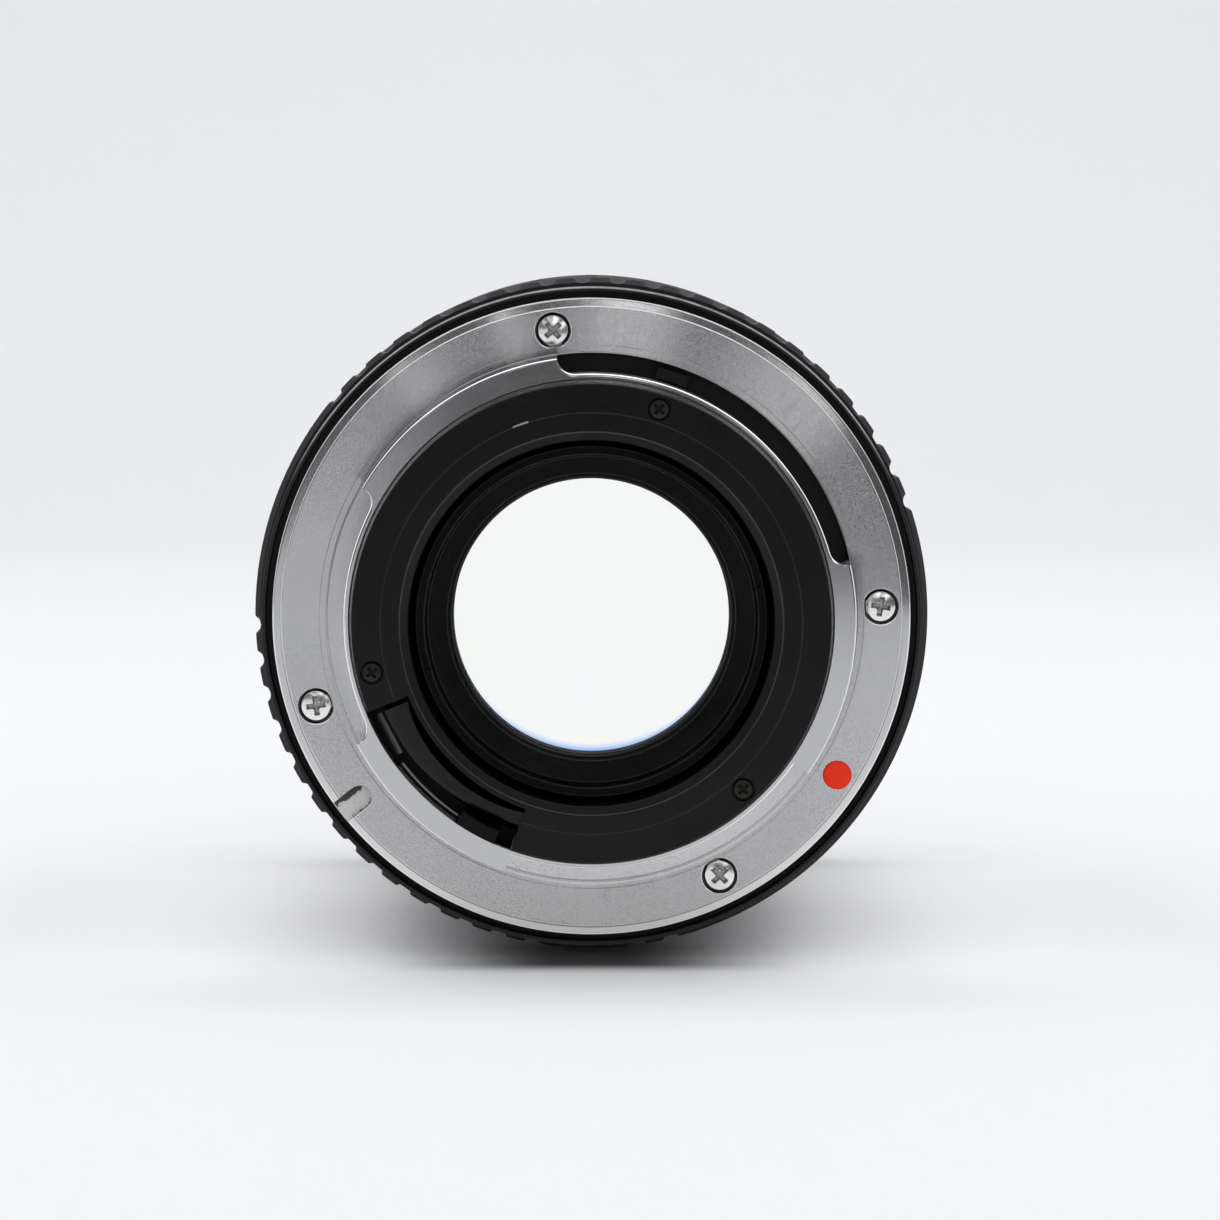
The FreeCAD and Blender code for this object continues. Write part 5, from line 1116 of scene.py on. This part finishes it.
def focus_angle(distance):
    """Where a distance in metres stands on the focusing sleeve: the travel is f^2 / (d - f)."""
    travel = FOCAL_LENGTH ** 2 / (distance * 1000.0 - FOCAL_LENGTH)
    return INDEX_ANGLE + travel / FOCUS_TRAVEL * FOCUS_TURN


def far_mark():
    """The two loops of the mark for far away."""
    turn = np.radians(np.arange(LOOP_POINTS) * 360.0 / LOOP_POINTS)
    here = np.arange(LOOP_POINTS)
    after = np.roll(here, -1)
    faces = np.column_stack([here, after, after + LOOP_POINTS, here + LOOP_POINTS]).tolist()
    loops = []
    for middle in (-LOOP_OFFSET, LOOP_OFFSET):
        edges = [np.column_stack([middle + reach * np.cos(turn), reach * LOOP_HEIGHT * np.sin(turn)])
                 for reach in LOOP_RADII]
        loops.append(raised("loop", np.vstack(edges), faces, INDEX_ANGLE, SCALE_RADIUS, 19.0))
    return loops


def scales():
    """All the figures and lines, gathered into one piece for each ring and colour."""
    stops = []
    for row, text in enumerate(("2.8", "4", "5.6", "8", "11", "16", "22", "32")):
        stops.append(figure(text, 1.9, INDEX_ANGLE + row * STOP_STEP, GRIP_RADIUS, 7.4))
    index = [line_mark(INDEX_ANGLE, 0.35, 10.1, 14.8, INDEX_RADIUS)]
    for number in (22, 16, 11, 8):
        offset = number * BLUR_CIRCLE / FOCUS_TRAVEL * FOCUS_TURN
        for angle in (INDEX_ANGLE - offset, INDEX_ANGLE + offset):
            index.append(line_mark(angle, 0.14, 13.4, 14.8, INDEX_RADIUS))
            index.append(figure(str(number), 1.5, angle, INDEX_RADIUS, 12.0))
    metres = []
    for distance in (1.5, 1.7, 2, 2.5, 3, 4, 5, 7, 10, 20):
        metres.append(figure(f"{distance:g}", 1.9, focus_angle(distance), SCALE_RADIUS, 19.0))
        metres.append(line_mark(focus_angle(distance), 0.14, 15.5, 16.3, SCALE_RADIUS))
    metres.append(line_mark(INDEX_ANGLE, 0.2, 15.5, 16.3, SCALE_RADIUS))
    feet = []
    for distance in (5, 6, 7, 8, 10, 12, 15, 20, 30, 60):
        feet.append(figure(str(distance), 1.4, focus_angle(distance * METRES_PER_FOOT), SCALE_RADIUS, 17.1))
    for name, marks, body, colour in (
        ("aperture_figures", stops, "aperture_ring", white_mark),
        ("index_figures", index, "root", white_mark),
        ("metre_figures", metres, "focus_ring", white_mark),
        ("feet_figures", feet, "focus_ring", orange_mark),
        ("far_mark", far_mark(), "focus_ring", white_mark),
    ):
        dress(joined(name, marks), body, "ring_black", (), colour)


scales()


# Materials of the pieces that keep their own shape

slots = {row["node"]: row["material_slot"] for row in frame["record"]["subparts"]}
for node, item in frame["nodes"].items():
    item.data.materials.clear()
    item.data.materials.append(materials[slots[node]])
frame["nodes"]["coupling_ring"].data.materials[0] = coupling_black()


# Stage

TABLE_GLOW = 0.21
CONTACT_SHADE = 0.94
SWEEP_HALF_WIDTH = 2500.0
SWEEP_REAR, SWEEP_BEND, SWEEP_TOP = -1500.0, 700.0, 2600.0
SWEEP_RADIUS = 500.0
CARD_FOOT = -33.0


def stage_material(name, colour):
    """A pale table with a painted glow under the lens's flanks and a painted shadow at the line of contact.

    Seen through the glass the table is plain white, without the lens's own shadow, and the part of it in
    front of the mount looks brighter in reflections.
    """
    paint = Paint(name)
    gap = paint.axis(0).math("ABSOLUTE")
    along = paint.axis(1)
    lift = gap.within(8.0, 26.0, 32.0, 64.0) * TABLE_GLOW * along.within(-34.0, 4.0, 66.0, 92.0)
    glow = paint.combined(lift, lift, lift)
    mirrored = paint.node("ShaderNodeLightPath", {}, {}, "Is Glossy Ray")
    shade = gap.below(3.0, 22.0) * along.within(-13.5, -5.5, 0.0, 12.0) * CONTACT_SHADE
    colour = paint.mixed(shade * (1.0 - mirrored), colour, (0.0, 0.0, 0.0))
    paint.set(Base_Color=colour, Roughness=0.9, Specular_IOR_Level=0.2)
    paint.set(Emission_Color=glow, Emission_Strength=1.0)
    bright = paint.node("ShaderNodeEmission", {}, {"Color": (0.985, 0.978, 0.960), "Strength": 1.0})
    through = paint.node("ShaderNodeLightPath", {}, {}, "Is Transmission Ray")
    own = Value(paint, paint.shader.outputs[0])
    near = along.within(-80.0, -35.0, 0.0, 8.0) * mirrored * 0.4
    mix = paint.node("ShaderNodeMixShader", {}, {0: (through + near).clamped(), 1: own, 2: bright})
    paint.feed(paint.tree.nodes["Material Output"].inputs["Surface"], mix)
    return paint.material


def add_stage():
    """A pale floor that sweeps up into a backdrop."""
    bend = np.radians(np.linspace(0, 90, 24))[1:]
    profile = [(SWEEP_REAR, 0.0), (SWEEP_BEND, 0.0)]
    profile += [(SWEEP_BEND + SWEEP_RADIUS * math.sin(t), SWEEP_RADIUS * (1 - math.cos(t))) for t in bend]
    profile += [(SWEEP_BEND + SWEEP_RADIUS, SWEEP_TOP)]
    points = [(x, y, z + FLOOR_HEIGHT) for x in (-SWEEP_HALF_WIDTH, SWEEP_HALF_WIDTH) for y, z in profile]
    faces = grid_faces(2, len(profile), False, False)[:, ::-1].tolist()
    floor = new_mesh("sweep", points, faces)
    floor.data.materials.append(stage_material("sweep_paper", (0.80, 0.80, 0.81)))


def add_world():
    """A plain pale surrounding."""
    world = bpy.data.worlds.new("surrounding")
    world.use_nodes = True
    background = world.node_tree.nodes["Background"]
    background.inputs["Color"].default_value = (0.95, 0.97, 1.0, 1)
    background.inputs["Strength"].default_value = 0.66
    bpy.context.scene.world = world


def add_card(name, corners, tone):
    """Part of the room round the camera: a card of one tone that only reflections show."""
    card = new_mesh(name, corners, [[0, 1, 2, 3]], smooth=False)
    paint = Paint(name)
    paint.set(Base_Color=(0, 0, 0), Roughness=1.0, Specular_IOR_Level=0.0)
    paint.set(Emission_Color=(tone, tone, tone * 1.03), Emission_Strength=1.0)
    card.data.materials.append(paint.material)
    for kind in ("camera", "diffuse", "transmission", "shadow"):
        setattr(card, f"visible_{kind}", False)


def upright(left, right, top, distance):
    """The corners of an upright card behind the camera, standing on the floor."""
    foot = CARD_FOOT
    return [(x, -distance, z) for x, z in ((left, foot), (right, foot), (right, top), (left, top))]


add_camera()
add_stage()
add_world()
add_card("dim_room", upright(-1100, 1100, 520, 560), 0.12)
add_card("bright_room", upright(-700, -45, 40, 555), 0.75)
add_card("ceiling", [(-1200, -80, 620), (1200, -80, 620), (1200, 500, 620), (-1200, 500, 620)], 2.2)
for name, x in (("left_wall", -900), ("right_wall", 900)):
    add_card(name, [(x, -80, CARD_FOOT), (x, 500, CARD_FOOT), (x, 500, 600), (x, -80, 600)], 1.6)
add_soft_light("back_soft", (0, 200, 850), (0, 60, FLOOR_HEIGHT), (1300, 600), 5.0)
add_soft_light("front_soft", (0, -700, 420), (0, 20, 0), (1100, 400), 0.8)
add_soft_light("backdrop_wash", (0, 600, 900), (0, 900, 0), (1200, 400), 1.5)
add_glint("glint_left", 109.6, 8.0, 0.014)
add_glint("glint_right", 81.4, 52.0, 0.052)
add_glint("glint_far_left", 134.0, 26.0, 0.016)
add_glint("glint_far_right", 38.5, 62.0, 0.048)
bpy.context.scene.view_settings.view_transform = "Standard"
